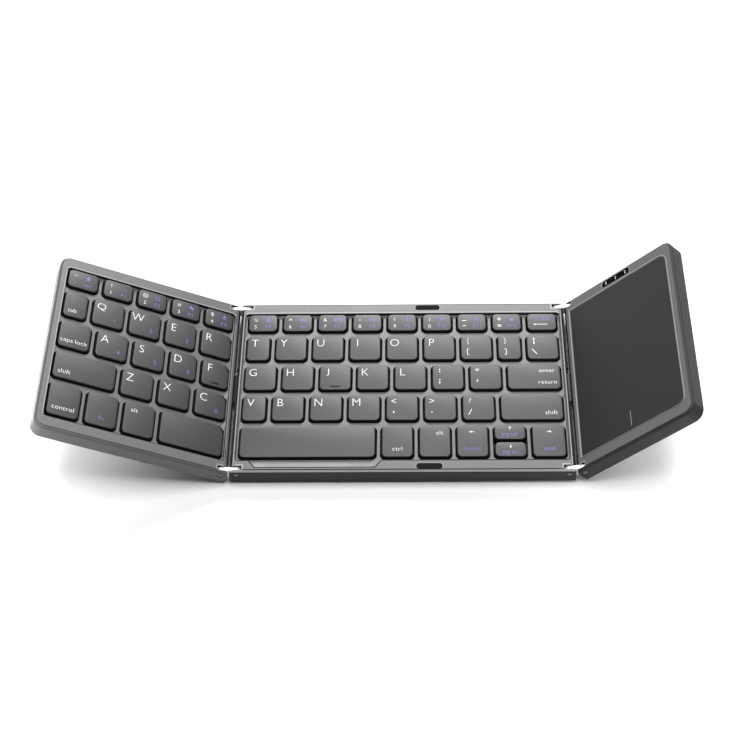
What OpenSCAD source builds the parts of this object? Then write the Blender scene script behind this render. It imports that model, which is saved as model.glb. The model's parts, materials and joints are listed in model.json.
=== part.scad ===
// Folding keyboard: a middle panel with two side panels on double-pin hinge links.
// Millimetres, +Z up. Every panel is drawn flat in its own frame and then stood in its place:
// x runs out from the hinge edge (from the centre on the middle panel), y back from the front
// wall, z up from the underside. The origin is the centre of the whole part's footprint.

/* [Panels] */
// Depth of every panel, front wall to rear wall
depth = 98; // [94:0.5:104]
// Width of the middle panel
middle_w = 153.9; // [153.9:0.1:162]
// Width of the left panel, which holds keys
left_w = 88.7; // [86:0.1:88.8]
// Width of the right panel, which holds the touchpad
right_w = 64.7; // [60:0.1:64.8]
// Thickness of a closed panel, underside to bezel
panel_t = 8.3; // [8.2:0.1:10]
// Radius of the free corners of the side panels, seen from above
corner_r = 5; // [3:0.5:8]
// Chamfer along the top outer edges
top_chamfer = 0.8; // [0.3:0.1:0.9]
// Chamfer along the bottom outer edges
bottom_chamfer = 0.4; // [0.2:0.1:0.8]

/* [Shells] */
// Front, rear and free walls of a base shell
wall_t = 1.2; // [1:0.1:1.6]
// Wall of a base shell along a hinge
hinge_wall_t = 1.6; // [1.5:0.1:1.8]
// Floor of a base shell
floor_t = 1.2; // [0.9:0.1:1.2]
// Thickness of the frame's rim, which lies on the base shell
rim_t = 1.0; // [0.9:0.1:1.2]
// Parting gap between the rim and the base shell
parting_gap = 0.3; // [0.1:0.05:0.35]
// Gap all round between the frame's body and the base shell
shell_fit = 0.1; // [0.05:0.05:0.2]
// Depth of the key well below the bezel
well_drop = 1.9; // [1.6:0.1:2.1]
// Thickness of the web between the keys
web_t = 1.2; // [0.8:0.1:1.3]
// Front and rear bezels, outer wall to key well
bezel_d = 6.1; // [5.8:0.1:6.4]
// Rail between the hinge edge and the key well on the middle panel
middle_rail = 2.3; // [2.2:0.1:2.6]
// Rail between the hinge edge and the key well on the left panel
left_rail = 2.9; // [2.4:0.1:3.1]
// Key well to the free edge of the left panel
left_bezel = 3.5; // [3:0.1:3.6]
// Corner radius of the key wells
well_r = 2; // [1:0.5:3]
// Depth of the thumb relief in front of the long space key
relief_d = 3.8; // [2:0.1:4]
// Hinge edge to the thumb relief
relief_start = 8.6; // [6:0.1:12]
// Slope of the thumb relief's two ends
relief_slope = 2.9; // [1:0.1:4]

/* [Hinges] */
// Distance between the two pins of a hinge link
pin_spacing = 7; // [7:0.1:8]
// Pin axis to the panel's hinge edge
pin_inset = 3.1; // [3:0.05:3.15]
// Pin axis below the bezel
pin_drop = 3.3; // [3.1:0.1:3.3]
// Rounding of the top edge along a hinge
hinge_edge_r = 2.8; // [2.7:0.1:3]
// Diameter of the hinge pins
pin_d = 2; // [1.6:0.1:2.4]
// Pin length, starting at the front or rear wall
pin_l = 5; // [4.4:0.1:5.2]
// Radial clearance of a pin in its link
pin_clearance = 0.05; // [0.03:0.01:0.08]
// Radial clearance of a pin in its pressed seat
seat_clearance = 0.02; // [0.01:0.01:0.02]
// Radius of a link's round ends, which is half its height
link_r = 2.4; // [2.1:0.1:2.6]
// Thickness of a link
link_t = 2; // [1.6:0.1:2.2]
// Outer wall left in front of a link
ear_t = 0.75; // [0.6:0.05:0.9]
// Gap all round between a link and its slot
link_clearance = 0.2; // [0.1:0.05:0.3]
// Edge break on a link
link_chamfer = 0.25; // [0.1:0.05:0.4]
// Radius of the ring sunk round a pin's end
pin_ring_r = 1.6; // [1.4:0.1:1.8]
// Depth of that ring
pin_ring_d = 0.2; // [0.1:0.05:0.3]
// Length of the solid block that holds a pin, from the hinge edge
block_l = 8.5; // [7.5:0.1:9]
// Width of that block, from the front or rear wall
block_w = 5.6; // [5.5:0.1:5.7]
// Width of the flexible ribbon that crosses a hinge
ribbon_w = 16; // [10:1:18]
// Thickness of the ribbon
ribbon_t = 0.3; // [0.2:0.05:0.4]
// Room round the ribbon in its slit
ribbon_room = 0.3; // [0.2:0.05:0.35]
// Reach of the ribbon into each panel
ribbon_reach = 2.6; // [2.2:0.1:3]
// Width of the pocket in the hinge edge where the ribbon bends
pocket_w = 20; // [19:0.5:24]
// Depth of that pocket
pocket_d = 0.9; // [0.6:0.1:1]
// Height of that pocket below the slit
pocket_drop = 0.8; // [0.5:0.1:1]

/* [Keys] */
// Free edge of the left panel to the first key
key_margin = 4.4; // [4:0.1:4.6]
// Hinge edge to the first key on the left panel
left_key_start = 4; // [4:0.05:4.3]
// Hinge edge to the first key on the middle panel
middle_key_start = 3.95; // [3.5:0.05:4.2]
// Front wall to the front row of keys
key_front = 7.9; // [7.7:0.1:8]
// Gap between neighbouring keys of a row
key_gap = 2.65; // [2.4:0.05:2.8]
// Gap between rows
row_gap = 3.45; // [3.3:0.05:3.5]
// Rear row of keys to the rear wall
key_rear = 7; // [6.8:0.1:7.4]
// Depth of a key in the rear row
number_d = 9.7; // [9:0.1:9.8]
// Depth of a key in the three letter rows
letter_d = 14.2; // [13.8:0.1:14.3]
// Depth of a key in the front row
bottom_d = 17; // [16:0.1:17.2]
// Gap between the two half-depth arrow keys
arrow_gap = 1.9; // [1.6:0.1:2.4]
// Width of a key in the rear row
number_w = 13.85; // [13:0.05:13.9]
// Width of a letter key
letter_w = 14.7; // [14:0.05:14.8]
// Width of the two left-hand letter keys beside the hinge in the home row
home_w = 12.9; // [12:0.1:13.5]
// Width of the narrow keys that start and end a row
narrow_w = 10.9; // [10:0.1:11.5]
// Width of the key at the left end of the rear row
tilde_w = 14.3; // [13:0.05:15]
// Width of the caps lock key
caps_w = 14.5; // [13:0.05:16]
// Width of the left shift key
left_shift_w = 28.25; // [24:0.05:30]
// Width of the control key
control_w = 14.45; // [13:0.05:16]
// Width of the backspace key
backspace_w = 14; // [13:0.05:16]
// Width of the key at the right end of the upper letter row
slash_w = 14.8; // [13:0.05:16]
// Width of the enter key
enter_w = 24.55; // [22:0.05:27]
// Width of the right shift key
right_shift_w = 28.35; // [24:0.05:30]
// Width of the arrow key at the right end of the front row
end_arrow_w = 14.95; // [13:0.05:16]
// Width of a modifier or arrow key
modifier_w = 14.2; // [13.5:0.1:14.5]
// Width of the long space key
space_w = 61; // [56:0.5:62]
// Width of the left space key
left_space_w = 29.5; // [27:0.5:30]
// Bezel to key top
key_drop = 0.35; // [0.2:0.05:0.5]
// Height of a key's skirt below its top
key_h = 2.65; // [2.4:0.05:2.8]
// Thickness of a key's top
key_top_t = 1; // [0.8:0.1:1.2]
// Thickness of a key's skirt
key_wall_t = 0.9; // [0.7:0.1:1.1]
// Corner radius of a key
key_r = 1.8; // [1:0.1:2.2]
// Slope of a key's sides, foot to shoulder
key_draft = 0.35; // [0.1:0.05:0.4]
// Chamfer round a key's top
key_chamfer = 0.3; // [0.1:0.05:0.4]
// Gap all round between a key and the web
key_clearance = 0.35; // [0.25:0.05:0.4]
// Corner cut from the keys beside the left hinge
key_cut = 2.2; // [1:0.1:2.6]
// Length of the raised bar on the two homing keys
homing_l = 3.4; // [2:0.1:5]
// Width of that bar
homing_w = 0.5; // [0.4:0.1:1]
// Height of that bar
homing_h = 0.2; // [0.1:0.05:0.4]
// Front edge of a homing key to its bar
homing_y = 1.6; // [1:0.1:4]
// How far a key goes down
key_travel = 1.2; // [0.8:0.1:1.25]

/* [Key mechanism] */
// Height of the ribs on a base floor, which carry the support plate
rib_h = 0.6; // [0.4:0.1:0.7]
// Gap between the stack of sheets and the shell
sheet_fit = 0.6; // [0.4:0.1:1]
// Thickness of a support plate
plate_t = 0.6; // [0.4:0.1:0.8]
// Thickness of a contact membrane
membrane_t = 0.3; // [0.2:0.05:0.35]
// Thickness of a dome mat's sheet
mat_t = 0.3; // [0.2:0.05:0.35]
// Height of a pressed dome
dome_h = 1.1; // [0.9:0.05:1.1]
// Foot radius of a dome
dome_r = 2.6; // [2:0.1:2.8]
// Top radius of a dome as a share of its foot radius
dome_taper = 0.55; // [0.4:0.05:0.8]
// Largest width of a scissor
arm_max_w = 12; // [8:0.5:13]
// Largest depth of a scissor
arm_max_d = 11; // [8:0.5:12]
// Thickness of a scissor arm
arm_t = 0.8; // [0.6:0.1:0.8]
// Width of a scissor arm's bars
arm_w = 0.9; // [0.7:0.1:1]
// Gap between the two arms of a scissor, and between them and the dome
arm_gap = 0.15; // [0.1:0.05:0.2]
// Gap between a scissor and the skirt of its key
arm_side = 0.3; // [0.2:0.1:0.6]
// Radius of the post under a key, which presses the dome
post_r = 1.2; // [1:0.1:1.3]

/* [Touchpad] */
// Hinge edge to the touchpad
pad_start = 4.3; // [4:0.1:5]
// Touchpad to the free edge of the right panel
pad_margin = 3.7; // [3:0.1:5]
// Front wall to the touchpad
pad_front = 6.2; // [6:0.1:7]
// Touchpad to the rear wall
pad_rear = 6.4; // [6.2:0.1:7]
// Thickness of the touchpad sheet
pad_t = 1; // [0.8:0.1:1.1]
// Bezel to touchpad surface
pad_drop = 0.15; // [0.1:0.05:0.3]
// Corner radius of the touchpad beside the free edge
pad_r = 4; // [2:0.5:5]
// Gap all round the touchpad
pad_clearance = 0.15; // [0.1:0.05:0.25]
// Width of the ledge under the touchpad's rim
ledge_w = 1.6; // [1.2:0.1:2]
// Thickness of the touch sensor board
sensor_t = 1; // [0.6:0.1:1.2]

/* [Electronics] */
// Width of the battery
battery_w = 46; // [30:1:52]
// Depth of the battery
battery_d = 46; // [30:1:47]
// Thickness of the battery
battery_t = 3.4; // [2:0.1:3.6]
// Front wall to the battery
battery_front = 10; // [8:1:12]
// Front wall to the main board
board_front = 60; // [58:1:64]
// Rear wall to the main board
board_rear = 6.2; // [6:0.1:8]
// Rear wall to the tongue of the board that carries the lamps and the socket
tongue_rear = 1.9; // [1.6:0.1:2.2]
// Gap between the main board and the side walls
board_fit = 1; // [0.5:0.1:2]
// Thickness of the main board
board_t = 0.8; // [0.6:0.1:0.8]
// Height of the posts that carry the main board
board_post_h = 0.5; // [0.3:0.1:0.5]
// Radius of those posts
board_post_r = 2; // [1.5:0.1:3]
// Corners of the main board to its posts
board_post_in = 4; // [3:0.5:8]
// Free edge of the right panel to the charging socket's centre
socket_x = 17; // [12:0.5:24]
// Width of the charging socket's shell
socket_w = 7.6; // [6.9:0.1:8.2]
// Depth of the charging socket's shell
socket_d = 5.6; // [5:0.1:6]
// Height of the charging socket's shell
socket_h = 2.6; // [2.4:0.1:2.6]
// Gap all round between the socket and its window in the rear wall
socket_room = 0.3; // [0.2:0.05:0.4]
// Length of the indicator window
window_l = 16.2; // [12:0.1:18]
// Width of the indicator window
window_w = 3.2; // [2.6:0.1:3.4]
// Thickness of the indicator window
window_t = 1; // [0.8:0.1:1.2]
// Rear wall to the indicator window's centre line
window_y = 3.2; // [2.8:0.1:3.3]
// Distance between the three indicator lamps
lamp_pitch = 5.65; // [4.5:0.05:6]
// Diameter of the light holes under that window
light_hole_d = 1.2; // [0.8:0.1:1.6]

/* [Trim] */
// Length of a fold bumper
bumper_l = 11.6; // [8:0.1:14]
// Width of a fold bumper
bumper_w = 2.6; // [2:0.1:3]
// How far a fold bumper stands out of the bezel
bumper_proud = 0.2; // [0.1:0.05:0.3]
// How deep a fold bumper is set in the bezel
bumper_set = 0.7; // [0.5:0.1:0.8]
// Rear and front walls to a fold bumper's centre line
bumper_y = 2.7; // [2.6:0.1:3]
// How far the feet stand out of the underside
foot_h = 1; // [1:0.1:2]
// How deep the feet are set in the underside
foot_set = 0.3; // [0.2:0.1:0.5]
// Width of a foot
foot_w = 5; // [4:0.5:7]
// Length of the two strips under the middle panel
strip_l = 110; // [80:1:120]
// Length of a foot under a side panel
side_foot_l = 12; // [8:1:16]
// Walls to the feet's centre lines
foot_inset = 8.5; // [8:0.5:12]
// Shank diameter of the case screws
screw_d = 1.6; // [1.4:0.1:1.7]
// Head diameter of the case screws
screw_head_d = 3; // [2.6:0.1:3.2]
// Diameter of the frame bosses that take the screws
boss_d = 3.6; // [3.2:0.1:3.8]
// Front and rear walls to the screws
screw_y = 3.7; // [3.5:0.1:3.75]
// Hinge edge to the nearest screws, on the middle and left panels
screw_x = 18; // [16:0.5:22]
// Hinge edge to the nearest screws on the right panel
right_screw_x = 16; // [14:0.5:18]
// Free edge to the nearest screws
free_screw_x = 10; // [8:0.5:14]

/* [Pose in the photograph] */
// Angle of the left links above the desk
left_link_angle = 0; // [0:0.1:45]
// Angle of the left panel above the desk
left_angle = 24.8; // [0:0.1:60]
// Angle of the right links above the desk
right_link_angle = 11; // [0:0.1:45]
// Angle of the right panel above the desk
right_angle = 44.8; // [11:0.1:70]

/* [Hidden] */
$fn = 48;
tiny = 0.01;
beyond = 1;

// Panels as [hinge edge, other edge, whether the other edge is free]
MIDDLE = [-middle_w / 2, middle_w / 2, false];
LEFT = [0, left_w, true];
RIGHT = [0, right_w, true];

// Levels of a panel, from its underside up
pin_z = panel_t - pin_drop;
rim_z = panel_t - rim_t;
parting_z = rim_z - parting_gap;
well_z = panel_t - well_drop;
web_z = well_z - web_t;
plate_z = floor_t + rib_h;
membrane_z = plate_z + plate_t;
mat_z = membrane_z + membrane_t;
arm_z = mat_z + mat_t;
key_top_z = panel_t - key_drop;
key_foot_z = key_top_z - key_h;
key_inside_z = key_top_z - key_top_t;
post_gap = 0.15;
post_z = arm_z + dome_h + post_gap + key_travel;

// Hinge values that follow from the sizes above
slot_r = link_r + link_clearance;
slot_y0 = ear_t;
slot_y1 = ear_t + link_t + 2 * link_clearance;
link_y = ear_t + link_clearance;

// Where the middle panel stands, so that the origin is the centre of the footprint
function free_reach(w, angle) =
  (w - pin_inset) * cos(angle) + max(0, (pin_z - bottom_chamfer) * sin(angle));
left_reach = middle_w / 2 - pin_inset + pin_spacing * cos(left_link_angle)
           + free_reach(left_w, left_angle);
right_reach = middle_w / 2 - pin_inset + pin_spacing * cos(right_link_angle)
            + free_reach(right_w, right_angle);
stand_x = (left_reach - right_reach) / 2;

// Where the free edges meet when both side panels are folded in
fold_x = (left_w - right_w) / 2;

// Key rows, rear row first. The keys of a row share what it has over, or lacks, in equal parts.
function total(v, n) = n == 0 ? 0 : v[n - 1] + total(v, n - 1);
function fitted(v, run, gap) =
  let (share = (run - total(v, len(v)) - (len(v) - 1) * gap) / len(v)) [for (w = v) w + share];
function several(w, n) = [for (i = [1:n]) w];
middle_run = middle_w - 2 * middle_key_start;
left_run = left_w - left_key_start - key_margin;
middle_rows = [for (row = [
  concat(several(number_w, 8), backspace_w),
  concat(narrow_w, several(letter_w, 6), narrow_w, slash_w),
  concat(several(letter_w, 7), enter_w),
  concat(narrow_w, several(letter_w, 6), right_shift_w),
  concat(space_w, several(modifier_w, 4), end_arrow_w)
]) fitted(row, middle_run, key_gap)];
left_rows = [for (row = [
  concat(several(number_w, 4), tilde_w),
  concat(several(letter_w, 4), narrow_w),
  [home_w, home_w, letter_w, letter_w, caps_w],
  concat(several(letter_w, 3), left_shift_w),
  [left_space_w, modifier_w, modifier_w, control_w]
]) fitted(row, left_run, key_gap)];
row_depths = fitted([number_d, letter_d, letter_d, letter_d, bottom_d],
                    depth - key_front - key_rear, row_gap);
bottom_row = len(row_depths) - 1;
home_row = 2;
arrow_column = 4;
function row_y(r) = r == bottom_row ? key_front : row_y(r + 1) + row_depths[r + 1] + row_gap;

// A key's place as [x, y, width, depth, whether its rear hinge corner is cut]
function cell(rows, start, cut, r, i) =
  [start + total(rows[r], i) + i * key_gap, row_y(r), rows[r][i], row_depths[r], cut];
function middle_cell(r, i) = cell(middle_rows, middle_key_start - middle_w / 2, false, r, i);
function left_cell(r, i) = cell(left_rows, left_key_start, i == 0 && r > 0, r, i);
arrow_d = (row_depths[bottom_row] - arrow_gap) / 2;
function down_arrow_cell() = let (c = middle_cell(bottom_row, arrow_column))
  [c[0], c[1], c[2], arrow_d, false];
function up_arrow_cell() = let (c = middle_cell(bottom_row, arrow_column))
  [c[0], c[1] + arrow_d + arrow_gap, c[2], arrow_d, false];
function is_arrow_pair(r, i) = r == bottom_row && i == arrow_column;
middle_cells = concat(
  [for (r = [0:bottom_row]) for (i = [0:len(middle_rows[r]) - 1])
    if (!is_arrow_pair(r, i)) middle_cell(r, i)],
  [down_arrow_cell(), up_arrow_cell()]);
// The up and down arrow keys share one hole in the web
middle_holes = [for (r = [0:bottom_row]) for (i = [0:len(middle_rows[r]) - 1]) middle_cell(r, i)];
left_cells = [for (r = [0:bottom_row]) for (i = [0:len(left_rows[r]) - 1]) left_cell(r, i)];

// A point in the (x, z) plane, turned upwards about the origin
function turned(p, a) = [p[0] * cos(a) - p[1] * sin(a), p[0] * sin(a) + p[1] * cos(a)];

// Placing a panel's pieces

module stand() { translate([stand_x, -depth / 2, foot_h]) children(); }

module on_right_pin() { stand() translate([middle_w / 2 - pin_inset, 0, pin_z]) children(); }
module on_left_pin() {
  stand() mirror([1, 0, 0]) translate([middle_w / 2 - pin_inset, 0, pin_z]) children();
}

module on_right_link() { on_right_pin() rotate([0, -right_link_angle, 0]) children(); }
module on_left_link() { on_left_pin() rotate([0, -left_link_angle, 0]) children(); }

module on_right_panel() {
  on_right_link() translate([pin_spacing, 0, 0]) rotate([0, right_link_angle - right_angle, 0])
    translate([-pin_inset, 0, -pin_z]) children();
}

module on_left_panel() {
  on_left_link() translate([pin_spacing, 0, 0]) rotate([0, left_link_angle - left_angle, 0])
    translate([-pin_inset, 0, -pin_z]) children();
}

// A flat (x, z) shape run along y, and a flat (y, z) shape run along x
module along_y(y0, y1) { translate([0, y1, 0]) rotate([90, 0, 0]) linear_extrude(y1 - y0) children(); }
module along_x(x0, x1) { translate([x0, 0, 0]) rotate([90, 0, 90]) linear_extrude(x1 - x0) children(); }

// The same detail at the front and rear walls, and at each hinge edge
module at_both_walls() {
  children();
  translate([0, depth, 0]) mirror([0, 1, 0]) children();
}
module at_hinge_edges(p) {
  translate([p[0], 0, 0]) children();
  if (!p[2]) translate([p[1], 0, 0]) mirror([1, 0, 0]) children();
}

// Flat shapes

module box_2d(x0, y0, x1, y1) { translate([x0, y0]) square([x1 - x0, y1 - y0]); }

module rounded_2d(x0, y0, x1, y1, r) {
  box_2d(x0 + r, y0, x1 - r, y1);
  box_2d(x0, y0 + r, x1, y1 - r);
  for (x = [x0 + r, x1 - r]) for (y = [y0 + r, y1 - r]) translate([x, y]) circle(r = r);
}

// A rectangle whose corners are rounded at its far end only
module free_end_2d(x0, y0, x1, y1, r) {
  box_2d(x0, y0, x1 - r, y1);
  box_2d(x1 - 2 * r, y0 + r, x1, y1 - r);
  for (y = [y0 + r, y1 - r]) translate([x1 - r, y]) circle(r = r);
}

module stadium_2d(l, w) {
  square([l - w, w], center = true);
  for (x = [-1, 1]) translate([x * (l - w) / 2, 0]) circle(d = w);
}

// Panel outlines and sections

module hinge_edge_trim_2d() {
  difference() {
    box_2d(-beyond, panel_t - hinge_edge_r, hinge_edge_r, panel_t + beyond);
    translate([hinge_edge_r, panel_t - hinge_edge_r]) circle(r = hinge_edge_r);
  }
}

module chamfer_trims_2d(edge) {
  translate([edge, panel_t]) rotate(45) square(top_chamfer * sqrt(2), center = true);
  translate([edge, 0]) rotate(45) square(bottom_chamfer * sqrt(2), center = true);
}

module long_section_2d(p) {
  difference() {
    box_2d(p[0], 0, p[1], panel_t);
    translate([p[0], 0]) hinge_edge_trim_2d();
    if (p[2]) chamfer_trims_2d(p[1]);
    else translate([p[1], 0]) mirror([1, 0]) hinge_edge_trim_2d();
  }
}

module side_section_2d() {
  difference() {
    box_2d(0, 0, depth, panel_t);
    chamfer_trims_2d(0);
    chamfer_trims_2d(depth);
  }
}

// The square block round a free corner, and the quarter turn with the same chamfers that fills it
module corner_block(p) {
  translate([p[1] - corner_r, -beyond, -beyond])
    cube([corner_r + beyond, corner_r + beyond, panel_t + 2 * beyond]);
}
module corner_quarter(p) {
  translate([p[1] - corner_r, corner_r, 0]) rotate([0, 0, -90]) rotate_extrude(angle = 90) polygon([
    [0, 0], [corner_r - bottom_chamfer, 0], [corner_r, bottom_chamfer],
    [corner_r, panel_t - top_chamfer], [corner_r - top_chamfer, panel_t], [0, panel_t]
  ]);
}

// A whole closed panel as one solid, with all its outer edges
module envelope(p) {
  difference() {
    intersection() {
      along_y(0, depth) long_section_2d(p);
      along_x(p[0], p[1]) side_section_2d();
    }
    if (p[2]) at_both_walls() corner_block(p);
  }
  if (p[2]) at_both_walls() corner_quarter(p);
}

module level_cut(p, z0, z1) {
  translate([p[0] - beyond, -beyond, z0])
    cube([p[1] - p[0] + 2 * beyond, depth + 2 * beyond, z1 - z0]);
}

// The room inside a base shell. A frame's body fills the same outline less a fit.
module inside_2d(p, fit) {
  near = p[0] + hinge_wall_t + fit;
  far = p[1] - (p[2] ? wall_t : hinge_wall_t) - fit;
  low = wall_t + fit;
  high = depth - wall_t - fit;
  difference() {
    if (p[2]) free_end_2d(near, low, far, high, corner_r - wall_t);
    else box_2d(near, low, far, high);
    at_both_walls() at_hinge_edges(p) box_2d(0, 0, block_l + fit, block_w + fit);
  }
}

// Hinges

module link_slot_2d() {
  translate([pin_inset, pin_z]) circle(r = slot_r);
  box_2d(-beyond, pin_z - slot_r, pin_inset, pin_z + tiny);
  box_2d(-beyond, pin_z, pin_inset + slot_r, panel_t + beyond);
}

module link_slots(p) {
  at_both_walls() at_hinge_edges(p) along_y(slot_y0, slot_y1) link_slot_2d();
}

module pin_seats(p) {
  at_both_walls() at_hinge_edges(p) {
    along_y(-beyond, pin_l + tiny) translate([pin_inset, pin_z])
      circle(d = pin_d + 2 * seat_clearance);
    along_y(-beyond, pin_ring_d) translate([pin_inset, pin_z]) circle(r = pin_ring_r);
  }
}

module pins(p) {
  at_both_walls() at_hinge_edges(p)
    along_y(0, pin_l) translate([pin_inset, pin_z]) circle(d = pin_d);
}

// One link in the (x, z) plane of its two pins, flat faces across y
module link() {
  module outline(r) {
    translate([pin_spacing / 2, 0]) stadium_2d(pin_spacing + 2 * r, 2 * r);
  }
  difference() {
    union() {
      along_y(link_y + link_chamfer, link_y + link_t - link_chamfer) outline(link_r);
      along_y(link_y, link_y + link_t) outline(link_r - link_chamfer);
    }
    for (x = [0, pin_spacing]) along_y(0, slot_y1) translate([x, 0])
      circle(r = pin_d / 2 + pin_clearance);
  }
}

module link_pair() { at_both_walls() link(); }

// The passage for the ribbon: a slit through the wall and a pocket in the hinge edge
module ribbon_passage(p) {
  slit_w = ribbon_w + 2 * ribbon_room;
  slit_h = ribbon_t + 2 * ribbon_room;
  at_hinge_edges(p) {
    translate([-beyond, (depth - slit_w) / 2, pin_z - slit_h / 2])
      cube([beyond + ribbon_reach + ribbon_room, slit_w, slit_h]);
    translate([-beyond, (depth - pocket_w) / 2, pin_z - slit_h / 2 - pocket_drop])
      cube([beyond + pocket_d, pocket_w, panel_t]);
  }
}

// The ribbon from the middle panel's pin to the side panel's, straight from slit to slit
module ribbon(link_angle, panel_angle) {
  side_pin = turned([pin_spacing, 0], link_angle);
  inner = ribbon_reach - pin_inset;
  mouth = pocket_d - pin_inset;
  route = [
    [-inner, 0], [-mouth, 0],
    side_pin + turned([mouth, 0], panel_angle), side_pin + turned([inner, 0], panel_angle)
  ];
  along_y((depth - ribbon_w) / 2, (depth + ribbon_w) / 2) {
    for (i = [0:len(route) - 2]) {
      run = route[i + 1] - route[i];
      translate(route[i]) rotate(atan2(run[1], run[0])) translate([0, -ribbon_t / 2])
        square([norm(run), ribbon_t]);
    }
    for (i = [1:len(route) - 2]) translate(route[i]) circle(d = ribbon_t);
  }
}

// Screws, bosses and feet

middle_screws_at = [screw_x - middle_w / 2, 0, middle_w / 2 - screw_x];
left_screws_at = [screw_x, left_w - free_screw_x];
right_screws_at = [right_screw_x, right_w - free_screw_x];

module at_screws(xs) {
  at_both_walls() for (x = xs) translate([x, screw_y, 0]) children();
}

module screw_room(fit) {
  head_h = (screw_head_d - screw_d) / 2;
  translate([0, 0, -beyond]) cylinder(d = screw_d + 2 * fit, h = web_z + beyond);
  translate([0, 0, -tiny]) cylinder(d1 = screw_head_d + 2 * fit, d2 = screw_d + 2 * fit, h = head_h);
}

module screw() {
  head_h = (screw_head_d - screw_d) / 2;
  rotate_extrude() polygon([
    [0, 0], [screw_head_d / 2, 0], [screw_d / 2, head_h],
    [screw_d / 2, web_z - tiny], [0, web_z - tiny]
  ]);
}

module bosses(xs) {
  at_screws(xs) translate([0, 0, floor_t + shell_fit]) difference() {
    cylinder(d = boss_d, h = web_z - floor_t - shell_fit);
    translate([0, 0, -tiny]) cylinder(d = screw_d + 2 * seat_clearance, h = web_z);
  }
}

module feet(places, l) {
  for (f = places) translate([f[0], f[1], -foot_h]) linear_extrude(foot_h + foot_set)
    stadium_2d(l, foot_w);
}

module foot_pockets(places, l) {
  for (f = places) translate([f[0], f[1], -beyond]) linear_extrude(beyond + foot_set + tiny)
    stadium_2d(l + 2 * shell_fit, foot_w + 2 * shell_fit);
}

middle_feet_at = [[0, foot_inset], [0, depth - foot_inset]];
function side_feet_at(p) = [for (y = [foot_inset, depth - foot_inset])
  [p[1] - foot_inset - side_foot_l / 2, y]];

// Shells

module base_shell(p, screws) {
  difference() {
    intersection() {
      envelope(p);
      level_cut(p, -beyond, parting_z);
    }
    translate([0, 0, floor_t]) linear_extrude(panel_t) inside_2d(p, 0);
    link_slots(p);
    pin_seats(p);
    at_screws(screws) screw_room(seat_clearance + parting_gap);
  }
}

// Ribs on the floor, run front to back, which carry the support plate
module floor_ribs(p, count) {
  low = block_w + sheet_fit;
  near = p[0] + block_l;
  far = p[1] - block_l;
  for (i = [0:count - 1]) translate([near + i * (far - near) / (count - 1), low, floor_t])
    cube([wall_t, depth - 2 * low, rib_h]);
}

module sheet(p, z, t) {
  near = p[0] + hinge_wall_t + sheet_fit;
  far = p[1] - (p[2] ? wall_t : hinge_wall_t) - sheet_fit;
  low = block_w + sheet_fit;
  translate([0, 0, z]) linear_extrude(t) box_2d(near, low, far, depth - low);
}

// The web and bezel of a key panel. The two children are the well and the key holes, both flat.
module key_frame(p, screws) {
  difference() {
    union() {
      translate([0, 0, web_z]) linear_extrude(web_t) difference() {
        inside_2d(p, shell_fit);
        children(1);
      }
      translate([0, 0, well_z]) linear_extrude(rim_z - well_z) difference() {
        inside_2d(p, shell_fit);
        children(0);
      }
      difference() {
        intersection() {
          envelope(p);
          level_cut(p, rim_z, panel_t + beyond);
        }
        translate([0, 0, well_z]) linear_extrude(panel_t) children(0);
        link_slots(p);
      }
    }
    ribbon_passage(p);
  }
  bosses(screws);
}

// Keys

module key_outline_2d(c, grow) {
  r = key_r + grow;
  x0 = c[0] - grow;
  y0 = c[1] - grow;
  x1 = c[0] + c[2] + grow;
  y1 = c[1] + c[3] + grow;
  difference() {
    rounded_2d(x0, y0, x1, y1, r);
    if (c[4]) translate([x0, y1]) rotate(45)
      square(key_cut * sqrt(2), center = true);
  }
}

module key_holes_2d(cells) {
  for (c = cells) key_outline_2d(c, key_draft + key_clearance);
}

// A thin slice of a key, for the hull that gives it sloped sides and a soft shoulder
module key_slice(c, z, grow) {
  r = max(key_r + grow, tiny);
  x0 = c[0] - grow + r;
  x1 = c[0] + c[2] + grow - r;
  y0 = c[1] - grow + r;
  y1 = c[1] + c[3] + grow - r;
  spots = c[4]
    ? [[x0, y0], [x1, y0], [x1, y1], [x0 + key_cut, y1], [x0, y1 - key_cut]]
    : [[x0, y0], [x1, y0], [x1, y1], [x0, y1]];
  for (s = spots) translate([s[0], s[1], z]) cylinder(r = r, h = tiny, $fn = 16);
}

module key(c) {
  inset = key_wall_t + key_draft / 2;
  cut = c[4] ? key_cut + inset : inset;
  middle = [c[0] + c[2] / 2, c[1] + c[3] / 2];
  difference() {
    hull() {
      key_slice(c, key_foot_z, key_draft);
      key_slice(c, key_top_z - key_chamfer - tiny, 0);
      key_slice(c, key_top_z - tiny, -key_chamfer);
    }
    translate([0, 0, key_foot_z - beyond]) linear_extrude(key_inside_z - key_foot_z + beyond)
      polygon([
        [c[0] + inset, c[1] + inset], [c[0] + c[2] - inset, c[1] + inset],
        [c[0] + c[2] - inset, c[1] + c[3] - inset], [c[0] + cut, c[1] + c[3] - inset],
        [c[0] + inset, c[1] + c[3] - cut - tiny]
      ]);
  }
  translate([middle[0], middle[1], post_z])
    cylinder(r = post_r, h = key_inside_z - post_z + tiny, $fn = 12);
}

// The raised bar by which a finger finds the home row
module homing_bar(c) {
  translate([c[0] + (c[2] - homing_l) / 2, c[1] + homing_y, key_top_z - tiny])
    cube([homing_l, homing_w, homing_h + tiny]);
}

module middle_keys(r, first, last) { for (i = [first:last]) key(middle_cell(r, i)); }
module left_keys(r, first, last) { for (i = [first:last]) key(left_cell(r, i)); }

// Room for a scissor under a key, and the dome that fits inside its outer arm
arm_max = [arm_max_w, arm_max_d];
function arm_room(c) = [for (i = [2, 3]) min(c[i] - 2 * (key_wall_t + arm_side), arm_max[i - 2])];
function dome_radius(c) = min(dome_r, min(arm_room(c)) / 2 - arm_w - arm_gap);

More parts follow.
